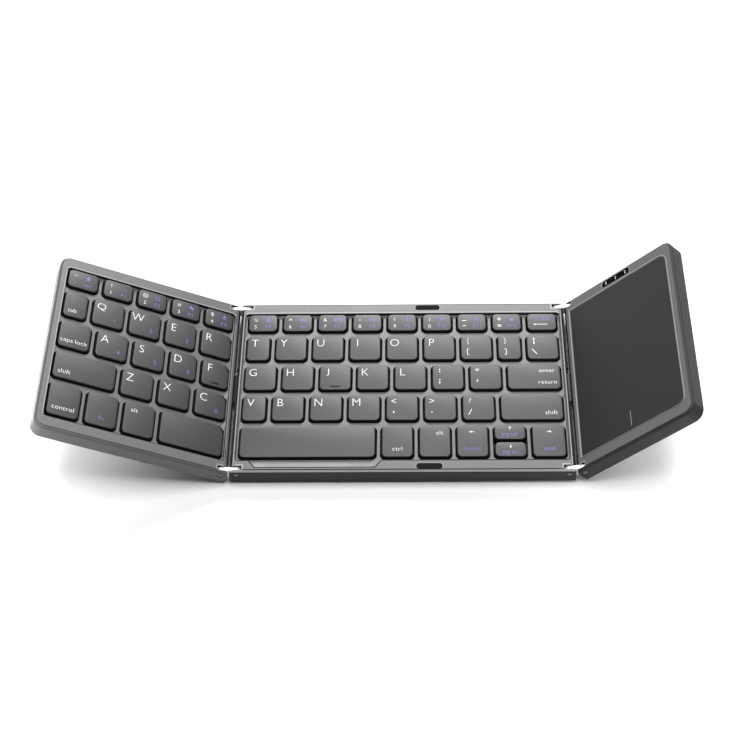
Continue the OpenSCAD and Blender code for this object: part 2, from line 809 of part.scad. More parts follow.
module domes(cells) {
  for (c = cells) translate([c[0] + c[2] / 2, c[1] + c[3] / 2, arm_z])
    cylinder(r1 = dome_radius(c), r2 = dome_radius(c) * dome_taper, h = dome_h);
}

// A flat ring of bars
module arm_ring(w, d) {
  linear_extrude(arm_t) difference() {
    square([w, d], center = true);
    square([w - 2 * arm_w, d - 2 * arm_w], center = true);
  }
}

// Both arms of each key's scissor, folded flat as they lie under a pressed key
module scissors(cells) {
  for (c = cells) {
    outer = arm_room(c);
    inner = [for (v = outer) v - 2 * (arm_w + arm_gap)];
    translate([c[0] + c[2] / 2, c[1] + c[3] / 2, arm_z]) {
      arm_ring(outer[0], outer[1]);
      if (min(inner) / 2 - arm_w - arm_gap > dome_radius(c)) arm_ring(inner[0], inner[1]);
    }
  }
}

// Middle panel

relief_end = middle_key_start + middle_rows[bottom_row][0] + key_gap;
relief_x = [relief_start - middle_w / 2, relief_end - middle_w / 2];

module middle_well_2d() {
  rounded_2d(-middle_w / 2 + middle_rail, bezel_d, middle_w / 2 - middle_rail, depth - bezel_d, well_r);
  polygon([
    [relief_x[0], bezel_d + tiny], [relief_x[0] + relief_slope, bezel_d - relief_d],
    [relief_x[1] - relief_slope, bezel_d - relief_d], [relief_x[1], bezel_d + tiny]
  ]);
}

module middle_base() {
  color("#4a4b4d") stand() {
    difference() {
      base_shell(MIDDLE, middle_screws_at);
      ribbon_passage(MIDDLE);
      foot_pockets(middle_feet_at, strip_l);
    }
    floor_ribs(MIDDLE, 7);
  }
}

module middle_frame() {
  color("#8d8f91") stand() difference() {
    key_frame(MIDDLE, middle_screws_at) {
      middle_well_2d();
      key_holes_2d(middle_holes);
    }
    at_both_walls() translate([fold_x, bumper_y, panel_t - bumper_set])
      linear_extrude(panel_t) stadium_2d(bumper_l + 2 * shell_fit, bumper_w + 2 * shell_fit);
  }
}

module fold_bumpers() {
  color("#151515") stand() at_both_walls() translate([fold_x, bumper_y, panel_t - bumper_set])
    linear_extrude(bumper_set + bumper_proud) stadium_2d(bumper_l, bumper_w);
}

module middle_support_plate() { color("#3c3e40") stand() sheet(MIDDLE, plate_z, plate_t); }
module middle_membrane() { color("#2a2724") stand() sheet(MIDDLE, membrane_z, membrane_t); }
module middle_dome_mat() {
  color("#222222") stand() {
    sheet(MIDDLE, mat_z, mat_t);
    domes(middle_cells);
  }
}
module middle_scissors() { color("#2e2e2e") stand() scissors(middle_cells); }
module middle_feet() { color("#1d1d1d") stand() feet(middle_feet_at, strip_l); }
module middle_screws() { color("#303030") stand() at_screws(middle_screws_at) screw(); }
module middle_hinge_pins() { color("#8a8c8e") stand() pins(MIDDLE); }

// Left panel

module left_well_2d() {
  rounded_2d(left_rail, bezel_d, left_w - left_bezel, depth - bezel_d, well_r);
}

module left_base() {
  color("#4a4b4d") on_left_panel() {
    difference() {
      base_shell(LEFT, left_screws_at);
      ribbon_passage(LEFT);
      foot_pockets(side_feet_at(LEFT), side_foot_l);
    }
    floor_ribs(LEFT, 4);
  }
}

module left_frame() {
  color("#8d8f91") on_left_panel() key_frame(LEFT, left_screws_at) {
    left_well_2d();
    key_holes_2d(left_cells);
  }
}

module left_support_plate() { color("#3c3e40") on_left_panel() sheet(LEFT, plate_z, plate_t); }
module left_membrane() { color("#2a2724") on_left_panel() sheet(LEFT, membrane_z, membrane_t); }
module left_dome_mat() {
  color("#222222") on_left_panel() {
    sheet(LEFT, mat_z, mat_t);
    domes(left_cells);
  }
}
module left_scissors() { color("#2e2e2e") on_left_panel() scissors(left_cells); }
module left_feet() { color("#1d1d1d") on_left_panel() feet(side_feet_at(LEFT), side_foot_l); }
module left_screws() { color("#303030") on_left_panel() at_screws(left_screws_at) screw(); }
module left_hinge_pins() { color("#8a8c8e") on_left_panel() pins(LEFT); }
module left_links() { color("#e8e8ea") on_left_link() link_pair(); }
module left_ribbon() { color("#222326") on_left_pin() ribbon(left_link_angle, left_angle); }

// Right panel

pad_z = panel_t - pad_drop - pad_t;
board_z = floor_t + board_post_h;
board_x = [hinge_wall_t + board_fit, right_w - wall_t - board_fit];
board_y = [board_front, depth - board_rear];
pad_end = right_w - pad_margin;
pad_mid_x = (pad_start + pad_end) / 2;
lamp_x = [for (i = [-1:1]) pad_mid_x + i * lamp_pitch];

module pad_2d(grow) {
  free_end_2d(pad_start - grow, pad_front - grow, pad_end + grow, depth - pad_rear + grow,
              pad_r + grow);
}

module window_place() { translate([pad_mid_x, depth - window_y, 0]) children(); }
module socket_place() {
  translate([right_w - socket_x - socket_w / 2, depth - socket_d - parting_gap, board_z + board_t])
    children();
}

module right_base() {
  color("#4a4b4d") on_right_panel() {
    difference() {
      base_shell(RIGHT, right_screws_at);
      ribbon_passage(RIGHT);
      foot_pockets(side_feet_at(RIGHT), side_foot_l);
      translate([-socket_room, 0, -socket_room]) socket_place()
        cube([socket_w + 2 * socket_room, socket_d + beyond, socket_h + 2 * socket_room]);
    }
    for (x = [board_x[0] + board_post_in, board_x[1] - board_post_in])
      for (y = [board_y[0] + board_post_in, board_y[1] - board_post_in])
        translate([x, y, floor_t]) cylinder(r = board_post_r, h = board_post_h);
  }
}

module right_frame() {
  color("#8d8f91") on_right_panel() difference() {
    union() {
      translate([0, 0, web_z]) linear_extrude(rim_z - web_z) inside_2d(RIGHT, shell_fit);
      difference() {
        intersection() {
          envelope(RIGHT);
          level_cut(RIGHT, rim_z, panel_t + beyond);
        }
        link_slots(RIGHT);
        ribbon_passage(RIGHT);
      }
      bosses(right_screws_at);
    }
    translate([0, 0, pad_z]) linear_extrude(panel_t) pad_2d(pad_clearance);
    translate([0, 0, web_z - beyond]) linear_extrude(panel_t) pad_2d(-ledge_w);
    window_place() translate([0, 0, panel_t - window_t - parting_gap]) linear_extrude(panel_t)
      stadium_2d(window_l + 2 * shell_fit, window_w + 2 * shell_fit);
    for (x = lamp_x) translate([x, depth - window_y, web_z - beyond])
      cylinder(d = light_hole_d, h = panel_t);
  }
}

module touchpad() {
  color("#3a3b3d") on_right_panel() translate([0, 0, pad_z]) linear_extrude(pad_t) pad_2d(0);
}

module touch_sensor_board() {
  color("#1f5136") on_right_panel() translate([0, 0, pad_z - sensor_t]) linear_extrude(sensor_t)
    pad_2d(-ledge_w - shell_fit);
}

module main_board() {
  lamp = [light_hole_d, light_hole_d, web_z - board_z - board_t - shell_fit];
  chips = [[14, 7, 1], [33, 5, 0.8], [48, 4, 0.9]];
  tongue_side = 2;
  color("#1f5136") on_right_panel() {
    translate([0, 0, board_z]) linear_extrude(board_t) {
      box_2d(board_x[0], board_y[0], board_x[1], board_y[1]);
      box_2d(lamp_x[0] - tongue_side, board_y[1] - tiny, right_w - socket_x + socket_w / 2,
             depth - tongue_rear);
    }
    translate([0, 0, board_z + board_t - tiny]) {
      for (x = lamp_x) translate([x - lamp[0] / 2, depth - window_y - lamp[1] / 2, 0]) cube(lamp);
      for (c = chips) translate([c[0], (board_y[0] + board_y[1]) / 2, 0]) cube([c[1], c[1], c[2]]);
    }
  }
}

module battery_pack() {
  color("#b9bcc0") on_right_panel() translate([(right_w - battery_w) / 2, battery_front, floor_t])
    cube([battery_w, battery_d, battery_t]);
}

module indicator_window() {
  color("#0c0c0d") on_right_panel() window_place()
    translate([0, 0, panel_t - window_t - parting_gap / 2]) linear_extrude(window_t)
      stadium_2d(window_l, window_w);
}

module charging_socket() {
  skin = 0.3;
  color("#c4c6c8") on_right_panel() socket_place() {
    difference() {
      cube([socket_w, socket_d, socket_h]);
      translate([skin, beyond, skin]) cube([socket_w - 2 * skin, socket_d, socket_h - 2 * skin]);
    }
    translate([socket_w / 4, beyond - tiny, socket_h / 2 - skin])
      cube([socket_w / 2, socket_d - 2 * beyond, 2 * skin]);
  }
}

module right_feet() { color("#1d1d1d") on_right_panel() feet(side_feet_at(RIGHT), side_foot_l); }
module right_screws() { color("#303030") on_right_panel() at_screws(right_screws_at) screw(); }
module right_hinge_pins() { color("#8a8c8e") on_right_panel() pins(RIGHT); }
module right_links() { color("#e8e8ea") on_right_link() link_pair(); }
module right_ribbon() { color("#222326") on_right_pin() ribbon(right_link_angle, right_angle); }

// Keys of the left panel, counted out from the hinge

left_key_grey = "#4a4b4d";
module left_number_keys() { color(left_key_grey) on_left_panel() left_keys(0, 0, 4); }
module tab_key() { color(left_key_grey) on_left_panel() left_keys(1, 4, 4); }
module qwer_keys() { color(left_key_grey) on_left_panel() left_keys(1, 0, 3); }
module caps_lock_key() { color(left_key_grey) on_left_panel() left_keys(home_row, 4, 4); }
module asdf_keys() {
  color(left_key_grey) on_left_panel() {
    left_keys(home_row, 0, 3);
    homing_bar(left_cell(home_row, 0));
  }
}
module left_shift_key() { color(left_key_grey) on_left_panel() left_keys(3, 3, 3); }
module zxc_keys() { color(left_key_grey) on_left_panel() left_keys(3, 0, 2); }
module left_modifier_keys() { color(left_key_grey) on_left_panel() left_keys(bottom_row, 1, 3); }
module left_space_key() { color(left_key_grey) on_left_panel() left_keys(bottom_row, 0, 0); }

// Keys of the middle panel, counted from its left edge

key_grey = "#6f7173";
module right_number_keys() { color(key_grey) stand() middle_keys(0, 0, 7); }
module backspace_key() { color(key_grey) stand() middle_keys(0, 8, 8); }
module tyuiop_keys() { color(key_grey) stand() middle_keys(1, 0, 5); }
module bracket_keys() { color(key_grey) stand() middle_keys(1, 6, 8); }
module ghjkl_keys() {
  color(key_grey) stand() {
    middle_keys(home_row, 0, 4);
    homing_bar(middle_cell(home_row, 2));
  }
}
module quote_keys() { color(key_grey) stand() middle_keys(home_row, 5, 6); }
module enter_key() { color(key_grey) stand() middle_keys(home_row, 7, 7); }
module vbnm_keys() { color(key_grey) stand() middle_keys(3, 0, 3); }
module comma_keys() { color(key_grey) stand() middle_keys(3, 4, 6); }
module right_shift_key() { color(key_grey) stand() middle_keys(3, 7, 7); }
module right_space_key() { color(key_grey) stand() middle_keys(bottom_row, 0, 0); }
module right_modifier_keys() { color(key_grey) stand() middle_keys(bottom_row, 1, 2); }
module left_arrow_key() { color(key_grey) stand() middle_keys(bottom_row, 3, 3); }
module up_arrow_key() { color(key_grey) stand() key(up_arrow_cell()); }
module down_arrow_key() { color(key_grey) stand() key(down_arrow_cell()); }
module right_arrow_key() { color(key_grey) stand() middle_keys(bottom_row, 5, 5); }

middle_base();
middle_frame();
middle_support_plate();
middle_membrane();
middle_dome_mat();
middle_scissors();
fold_bumpers();
middle_feet();
middle_screws();
middle_hinge_pins();
left_base();
left_frame();
left_support_plate();
left_membrane();
left_dome_mat();
left_scissors();
left_feet();
left_screws();
left_hinge_pins();
left_links();
left_ribbon();
right_base();
right_frame();
touchpad();
touch_sensor_board();
main_board();
battery_pack();
indicator_window();
charging_socket();
right_feet();
right_screws();
right_hinge_pins();
right_links();
right_ribbon();
left_number_keys();
tab_key();
qwer_keys();
caps_lock_key();
asdf_keys();
left_shift_key();
zxc_keys();
left_modifier_keys();
left_space_key();
right_number_keys();
backspace_key();
tyuiop_keys();
bracket_keys();
ghjkl_keys();
quote_keys();
enter_key();
vbnm_keys();
comma_keys();
right_shift_key();
right_space_key();
right_modifier_keys();
left_arrow_key();
up_arrow_key();
down_arrow_key();
right_arrow_key();
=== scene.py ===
"""Looks of the folding keyboard: finishes, keycaps, legends, trim, ribbons, light and camera.

Lengths inside a panel are millimetres in that panel's own frame: x to the right, y back from
the front wall, z up from the underside. A Place turns them into metres in the row frame.
"""

import json
import logging
import math
from dataclasses import dataclass, field
from enum import Enum
from typing import Dict, List, Optional, Sequence, Tuple

import bmesh
import bpy
from bmesh.types import BMEdge, BMesh, BMFace, BMVert
from bpy.types import ID, Material, Mesh, Node, NodeSocket, NodeTree, Object
from mathutils import Euler, Matrix, Vector


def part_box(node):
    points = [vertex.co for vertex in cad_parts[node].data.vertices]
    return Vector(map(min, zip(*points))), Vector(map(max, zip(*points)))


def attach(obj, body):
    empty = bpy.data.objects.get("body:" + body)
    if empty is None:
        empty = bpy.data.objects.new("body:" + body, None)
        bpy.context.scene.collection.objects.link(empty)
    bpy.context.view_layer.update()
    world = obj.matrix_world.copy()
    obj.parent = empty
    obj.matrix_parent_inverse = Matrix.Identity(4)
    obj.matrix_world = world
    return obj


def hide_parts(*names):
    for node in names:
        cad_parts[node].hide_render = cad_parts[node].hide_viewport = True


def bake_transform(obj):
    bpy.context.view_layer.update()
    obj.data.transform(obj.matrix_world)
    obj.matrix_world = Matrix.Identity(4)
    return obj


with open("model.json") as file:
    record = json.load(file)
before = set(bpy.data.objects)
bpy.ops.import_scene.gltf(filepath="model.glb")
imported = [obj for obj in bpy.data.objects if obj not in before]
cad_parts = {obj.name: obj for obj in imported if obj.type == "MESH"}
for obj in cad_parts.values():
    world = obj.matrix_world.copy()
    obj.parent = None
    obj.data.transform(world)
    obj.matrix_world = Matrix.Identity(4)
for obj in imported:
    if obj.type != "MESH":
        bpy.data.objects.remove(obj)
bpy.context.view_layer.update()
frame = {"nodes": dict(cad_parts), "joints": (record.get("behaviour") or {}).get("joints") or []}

log = logging.getLogger("folding_keyboard")

MM = 0.001

Point = Tuple[float, float]
Triple = Tuple[float, float, float]


# Places


@dataclass(frozen=True)
class Place:
    """A panel's own frame, in the row frame.

    Attributes:
        body: The CAD body that the panel belongs to.
        origin: Where the panel's own origin lies, in metres.
        right: Unit vector along the panel's x.
        up: Unit vector along the panel's z.
    """

    body: str
    origin: Vector
    right: Vector
    up: Vector

    @property
    def matrix(self) -> Matrix:
        """Matrix from the panel's millimetres to the row frame's metres."""
        back = self.up.cross(self.right)
        turn = Matrix((self.right, back, self.up)).transposed().to_4x4()
        return Matrix.Translation(self.origin) @ turn @ Matrix.Scale(MM, 4)


@dataclass(frozen=True)
class PanelSizes:
    """Sizes of the closed panels that the dressing hangs on, in millimetres."""

    depth: float = 98.0
    pin_inset: float = 3.1
    pin_height: float = 5.0
    rim_height: float = 7.3


SIZES = PanelSizes()


def joint(name: str) -> dict:
    """Finds a joint of the frame by its name."""
    return next(j for j in frame["joints"] if j["name"] == name)


def side_place(side: str, hand: int) -> Place:
    """Places a side panel from its two joints.

    Args:
        side: Either left or right, as the joints and bodies are named.
        hand: -1 where the panel runs left from its hinge, 1 where it runs right.

    Returns:
        The panel's place, with its origin at the foot of the hinge edge.
    """
    link, panel = joint(f"{side}_link_fold"), joint(f"{side}_panel_fold")
    tilt = -math.radians(link["range_deg"][0] + panel["range_deg"][0])
    right = Vector((math.cos(tilt), 0, hand * math.sin(tilt)))
    up = Vector((-hand * math.sin(tilt), 0, math.cos(tilt)))
    pin = Vector(panel["pos_m"])
    corner = pin - right * (hand * SIZES.pin_inset * MM) - up * (SIZES.pin_height * MM)
    return Place(f"{side}_panel", corner - Vector((0, SIZES.depth / 2 * MM, 0)), right, up)


def middle_place() -> Place:
    """Places the middle panel, with its origin under the middle of its front wall."""
    pins = [Vector(joint(f"{side}_link_fold")["pos_m"]) for side in ("left", "right")]
    low = Vector((0, SIZES.depth / 2, SIZES.pin_height)) * MM
    origin = (pins[0] + pins[1]) / 2 - low
    return Place("middle_panel", origin, Vector((1, 0, 0)), Vector((0, 0, 1)))


LEFT = side_place("left", -1)
MIDDLE = middle_place()
RIGHT = side_place("right", 1)


# Mesh helpers


def whole(bm: BMesh) -> list:
    """All vertices, edges and faces of a mesh."""
    return bm.verts[:] + bm.edges[:] + bm.faces[:]


def to_mesh(bm: BMesh, name: str) -> Mesh:
    """Turns a bmesh into a mesh and frees it."""
    mesh = bpy.data.meshes.new(name)
    bm.to_mesh(mesh)
    bm.free()
    return mesh


def add_object(name: str, data: ID) -> Object:
    """Adds an object with that data to the scene."""
    made = bpy.data.objects.new(name, data)
    bpy.context.scene.collection.objects.link(made)
    return made


def copy_node(node: str, into: Matrix, weld: float) -> BMesh:
    """Copies the mesh of a CAD node.

    Args:
        node: The CAD node.
        into: Matrix from the row frame's metres to the copy's units.
        weld: Vertices that lie nearer than this become one, in the copy's units.

    Returns:
        The copy.
    """
    bm = bmesh.new()
    bm.from_mesh(frame["nodes"][node].data)
    bm.transform(into)
    bmesh.ops.remove_doubles(bm, verts=bm.verts, dist=weld)
    return bm


def finish_piece(bm: BMesh, name: str, place: Place, body: str,
                 materials: Sequence[Material],
                 smooth_deg: float = 32) -> Object:
    """Turns a bmesh into a piece of the object that rides on a body.

    Args:
        bm: The mesh, in a panel's millimetres. It is freed.
        name: The piece's name.
        place: The panel that the mesh is drawn in.
        body: The CAD body that carries the piece.
        materials: The piece's material slots, in order.
        smooth_deg: Edges sharper than this stay sharp.

    Returns:
        The new object, at the origin.
    """
    bm.transform(place.matrix)
    mesh = to_mesh(bm, name)
    for material in materials:
        mesh.materials.append(material)
    mesh.shade_smooth()
    mesh.set_sharp_from_angle(angle=math.radians(smooth_deg))
    piece = add_object(name, mesh)
    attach(piece, body)
    return piece


def soften(bm: BMesh, face: BMFace, width: float, steps: int,
           material: int = -1) -> None:
    """Rounds the edges of a face. A material of -1 takes that of the faces beside it."""
    bmesh.ops.bevel(bm, geom=list(face.edges), offset=width, offset_type="OFFSET",
                    segments=steps, profile=0.5, affect="EDGES", material=material)


def plate(bm: BMesh, width: float, depth: float, middle: Point, height: float,
          corner: float, cut: float = 0.0, steps: int = 5) -> BMFace:
    """Adds a flat rectangle with rounded corners.

    Args:
        bm: The mesh to add to.
        width: Size along x.
        depth: Size along y.
        middle: Centre of the rectangle.
        height: Height of the rectangle.
        corner: Radius of the corners.
        cut: Leg of a slanted cut at the rear right corner, or 0.
        steps: Segments in each corner.

    Returns:
        The one face.
    """
    at = Matrix.Translation((*middle, height)) @ Matrix.Diagonal((width, depth, 1, 1))
    made = bmesh.ops.create_grid(bm, x_segments=1, y_segments=1, size=0.5, matrix=at)
    face = made["verts"][0].link_faces[0]
    if cut:
        edge = Vector((middle[0] + width / 2 - cut, middle[1] + depth / 2, height))
        made = bmesh.ops.bisect_plane(bm, geom=[face, *face.edges, *face.verts], dist=1e-6,
                                      plane_co=edge, plane_no=(1, 1, 0), clear_outer=True)
        vert = next(g for g in made["geom_cut"] if isinstance(g, BMVert))
        face = vert.link_faces[0]
    made = bmesh.ops.bevel(bm, geom=list(face.verts), offset=corner, offset_type="OFFSET",
                           segments=steps, profile=0.5, affect="VERTICES", material=-1)
    return made["verts"][0].link_faces[0]


def raise_face(bm: BMesh, face: BMFace, rise: float,
               inset: Triple = (0.0, 0.0, 0.0)) -> BMFace:
    """Extrudes a flat face upwards and draws its outline in.

    Args:
        bm: The mesh that holds the face.
        face: The face to raise.
        rise: How far it goes up.
        inset: How far in the top lies on either side, in front and at the rear.

    Returns:
        The raised face.
    """
    made = bmesh.ops.extrude_face_region(bm, geom=[face, *face.edges])["geom"]
    verts = [g for g in made if isinstance(g, BMVert)]
    side, front, rear = inset
    xs, ys = [v.co.x for v in verts], [v.co.y for v in verts]
    centre = Vector(((min(xs) + max(xs)) / 2, (min(ys) + max(ys)) / 2, 0))
    scale = (1 - 2 * side / (max(xs) - min(xs)), 1 - (front + rear) / (max(ys) - min(ys)), 1)
    bmesh.ops.scale(bm, verts=verts, vec=scale, space=Matrix.Translation(-centre))
    bmesh.ops.translate(bm, verts=verts, vec=(0, (front - rear) / 2, rise))
    return next(g for g in made if isinstance(g, BMFace))


# Node groups and finishes

# Smudges of the roughness: how many lie in a metre, and how much they change it
SMUDGES, SMUDGE_DEPTH = 55.0, 0.06


@dataclass
class Wiring:
    """Short way to place and join shader nodes in one tree."""

    tree: NodeTree

    def add(self, kind: str, inputs: Optional[dict] = None, **settings: object) -> Node:
        """Adds a node.

        Args:
            kind: The node's type name, such as ShaderNodeMath.
            inputs: Socket name or number, to a value or to the socket that feeds it.
            settings: Properties of the node.

        Returns:
            The new node.
        """
        node = self.tree.nodes.new(kind)
        for key, value in settings.items():
            setattr(node, key, value)
        for key, value in (inputs or {}).items():
            if isinstance(value, NodeSocket):
                self.tree.links.new(value, node.inputs[key])
            else:
                node.inputs[key].default_value = value
        return node


def grain_group() -> NodeTree:
    """Builds the node group for moulded and painted surfaces.

    Returns:
        A group that takes Colour, Spread, Scale and Rough, and puts out Colour, Roughness
        and Height.
    """
    group = bpy.data.node_groups.new("moulded_grain", "ShaderNodeTree")
    for way, name, kind in (
            ("INPUT", "Colour", "Color"), ("INPUT", "Spread", "Float"),
            ("INPUT", "Scale", "Float"), ("INPUT", "Rough", "Float"),
            ("OUTPUT", "Colour", "Color"), ("OUTPUT", "Roughness", "Float"),
            ("OUTPUT", "Height", "Float")):
        group.interface.new_socket(name, in_out=way, socket_type=f"NodeSocket{kind}")
    w = Wiring(group)
    given = w.add("NodeGroupInput").outputs
    where = w.add("ShaderNodeTexCoord").outputs["Object"]
    fine = w.add("ShaderNodeTexNoise", {"Vector": where, "Scale": given["Scale"], "Detail": 3.0})
    broad = w.add("ShaderNodeTexNoise", {"Vector": where, "Scale": SMUDGES, "Detail": 4.0})
    grain, smear = (w.add("ShaderNodeMath", {0: noise.outputs["Fac"], 1: 0.5},
                          operation="SUBTRACT").outputs[0] for noise in (fine, broad))
    value = w.add("ShaderNodeMath", {0: grain, 1: given["Spread"], 2: 1.0},
                  operation="MULTIPLY_ADD")
    tone = w.add("ShaderNodeHueSaturation", {"Color": given["Colour"], "Value": value.outputs[0]})
    rough = w.add("ShaderNodeMath", {0: smear, 1: SMUDGE_DEPTH, 2: given["Rough"]},
                  operation="MULTIPLY_ADD")
    w.add("NodeGroupOutput", {"Colour": tone.outputs[0], "Roughness": rough.outputs[0],
                              "Height": fine.outputs["Fac"]})
    return group


@dataclass(frozen=True)
class Finish:
    """A surface finish with fine grain and faint smudges.

    Attributes:
        name: Name of the material.
        colour: Base colour, linear.
        rough: Mean roughness.
        metallic: 0 for plastics, 1 for bare metal.
        spread: How much the grain lightens and darkens the colour.
        scale: Grain cells per metre.
        bump: Height of the grain, in metres.
        coat: Weight of a clear coat.
        specular: Strength of the reflection of a plastic.
    """

    name: str
    colour: Triple
    rough: float = 0.45
    metallic: float = 0.0
    spread: float = 0.1
    scale: float = 2500.0
    bump: float = 0.00001
    coat: float = 0.0
    specular: float = 0.5

    def make(self, grain: NodeTree) -> Material:
        """Builds the material.

        Args:
            grain: The shared grain group.

        Returns:
            The new material.
        """
        material = bpy.data.materials.new(self.name)
        material.use_nodes = True
        material.diffuse_color = (*self.colour, 1)
        material.node_tree.nodes.clear()
        w = Wiring(material.node_tree)
        shade = w.add("ShaderNodeGroup", {"Colour": (*self.colour, 1), "Spread": self.spread,
                                          "Scale": self.scale, "Rough": self.rough},
                      node_tree=grain)
        bump = w.add("ShaderNodeBump", {"Height": shade.outputs["Height"], "Strength": 1.0,
                                        "Distance": self.bump})
        surface = w.add("ShaderNodeBsdfPrincipled", {
            "Base Color": shade.outputs["Colour"], "Roughness": shade.outputs["Roughness"],
            "Normal": bump.outputs[0], "Metallic": self.metallic, "Coat Weight": self.coat,
            "Coat Roughness": 0.15, "Specular IOR Level": self.specular})
        w.add("ShaderNodeOutputMaterial", {"Surface": surface.outputs[0]})
        return material


Finishes = Dict[str, Material]
FINISHES = (
    Finish("shell_dark", (0.019, 0.0193, 0.02), rough=0.42, spread=0.25, specular=0.22),
    # Lighter, glossier copy of the shell plastic: painted light on the left panel's walls.
    Finish("shell_left", (0.031, 0.0313, 0.032), rough=0.36, spread=0.2, coat=0.3, specular=0.7),
    # Lighter seam copy: painted light on the left frame's seam line.
    Finish("shell_mid", (0.045, 0.0453, 0.046), rough=0.42, spread=0.2, specular=0.38),
    # Darker rim copy: painted shade on the right panel's rim chamfer.
    Finish("shell_rim", (0.028, 0.0283, 0.029), rough=0.5, spread=0.2, specular=0.2),
    # Dark for the real seam lines, and painted shade on the frames' shaded faces.
    Finish("seam_dark", (0.012, 0.012, 0.0125), rough=0.6, specular=0.15),
    Finish("bezel_grey", (0.115, 0.116, 0.118), rough=0.4, spread=0.5, scale=1300, bump=0.000014),
    # Lighter copies of the bezel plastic: painted highlights on the frames' crests and the middle
    # panel's rim.
    Finish("bezel_edge", (0.36, 0.362, 0.365), rough=0.34, spread=0.15, scale=1300),
    Finish("pad_rim", (0.42, 0.422, 0.425), rough=0.3, spread=0.15, scale=1300),
    Finish("key_top", (0.034, 0.0342, 0.035), rough=0.43, spread=0.25, scale=1600),
    # Much darker copy of the key plastic: painted shade on the keycaps' skirts and the homing bars.
    Finish("key_skirt", (0.007, 0.007, 0.008), rough=0.5, specular=0.2),
    Finish("legend_white", (0.86, 0.87, 0.88), rough=0.6, spread=0.04, bump=0.000002),
    Finish("legend_blue", (0.15, 0.16, 0.54), rough=0.6, spread=0.04, bump=0.000002),
    Finish("touchpad_satin", (0.024, 0.0242, 0.025), rough=0.42, spread=0.12, scale=4000,
           bump=0.000003, specular=0.3),
    Finish("touchpad_edge", (0.22, 0.221, 0.224), rough=0.3, spread=0.1),
    Finish("pad_line", (0.33, 0.33, 0.34), rough=0.5),
    Finish("lamp_window", (0.002, 0.002, 0.0022), rough=0.2, spread=0.05, bump=0.000001,
           specular=0.12),
    Finish("soft_rubber", (0.004, 0.004, 0.0042), rough=0.75, scale=1500, bump=0.00002,
           specular=0.15),
    Finish("black_screw", (0.03, 0.03, 0.032), rough=0.38, metallic=0.6),
    Finish("pin_steel", (0.14, 0.142, 0.145), rough=0.4, metallic=0.9, spread=0.15),
    Finish("link_nickel", (0.93, 0.93, 0.94), rough=0.3, metallic=0.35, spread=0.03, bump=0.000002),
    Finish("ribbon_film", (0.02, 0.0205, 0.022), rough=0.42, spread=0.06, coat=0.2),
    Finish("circuit_green", (0.012, 0.10, 0.045), rough=0.35, scale=1200, coat=0.3),
    Finish("cell_foil", (0.62, 0.63, 0.65), rough=0.34, metallic=0.9, scale=900, bump=0.00002),
    Finish("plated_socket", (0.72, 0.72, 0.70), rough=0.28, metallic=1.0, spread=0.04),
    Finish("zinc_sheet", (0.56, 0.57, 0.58), rough=0.42, metallic=1.0, scale=700),
    # The membrane and dome mat are dark partly as their own colour and partly as painted shade, so
    # the gaps round the keys look black.
    Finish("membrane_film", (0.05, 0.05, 0.052), rough=0.4, spread=0.1),
    Finish("dome_silicone", (0.02, 0.02, 0.021), rough=0.6, spread=0.2),
    Finish("arm_nylon", (0.03, 0.03, 0.031), rough=0.5, spread=0.2),
)


def make_finishes() -> Finishes:
    """Makes every finish of the keyboard once, by name."""
    grain = grain_group()
    return {finish.name: finish.make(grain) for finish in FINISHES}


# Finishes of the CAD nodes that are kept, by the end of the node's name
CAD_FINISHES = {
    "bumpers": "soft_rubber", "feet": "soft_rubber", "screws": "black_screw",
    "pins": "pin_steel", "links": "link_nickel", "ribbon": "ribbon_film",
    "window": "lamp_window", "board": "circuit_green", "battery_pack": "cell_foil",
    "socket": "plated_socket", "plate": "zinc_sheet", "membrane": "membrane_film",
    "dome_mat": "dome_silicone", "scissors": "arm_nylon"}


def dress_cad_nodes(finishes: Finishes) -> None:
    """Gives every carried CAD node its finish."""
    for node, carried in frame["nodes"].items():
        for ending, finish in CAD_FINISHES.items():
            if node.endswith(ending):
                carried.data.materials.clear()
                carried.data.materials.append(finishes[finish])


# Moulded pieces


class Skin(Enum):
    """The parts of a moulded piece that can have finishes of their own, by material slot."""

    BODY = 0
    # On the frames the crest is a painted highlight.
    CREST = 1
    # On the frames this part is painted shade: faces darkened where shade falls.
    SHADE = 2
    SEAM = 3
    # The rim is a painted highlight on the middle panel and painted shade on the right one.
    RIM = 4


# What tells a moulded piece's faces apart. Lift is the z of a face's normal and lean its y.
# Lengths are millimetres.
ONE_FACE = math.radians(0.5)
LEVEL_LIFT, RIM_LIFT, WALL_LIFT = 0.999, 0.95, 0.1
CHAMFER_LIFTS, UPRIGHT_LIFTS = (0.5, 0.9), (-0.3, 0.3)
RIM_LEAN, CREST_LEAN = 0.3, 0.05
TOP_BAND, RIM_SLACK = 0.05, 0.02
OUTER_WALL, WELL_HEIGHT, BARREL_ENDS = 2.0, 6.0, 3.0
BUMPER_MARGIN, BUMPER_DEPTH, BUMPER_SHARE = 1.0, 5.0, 0.4


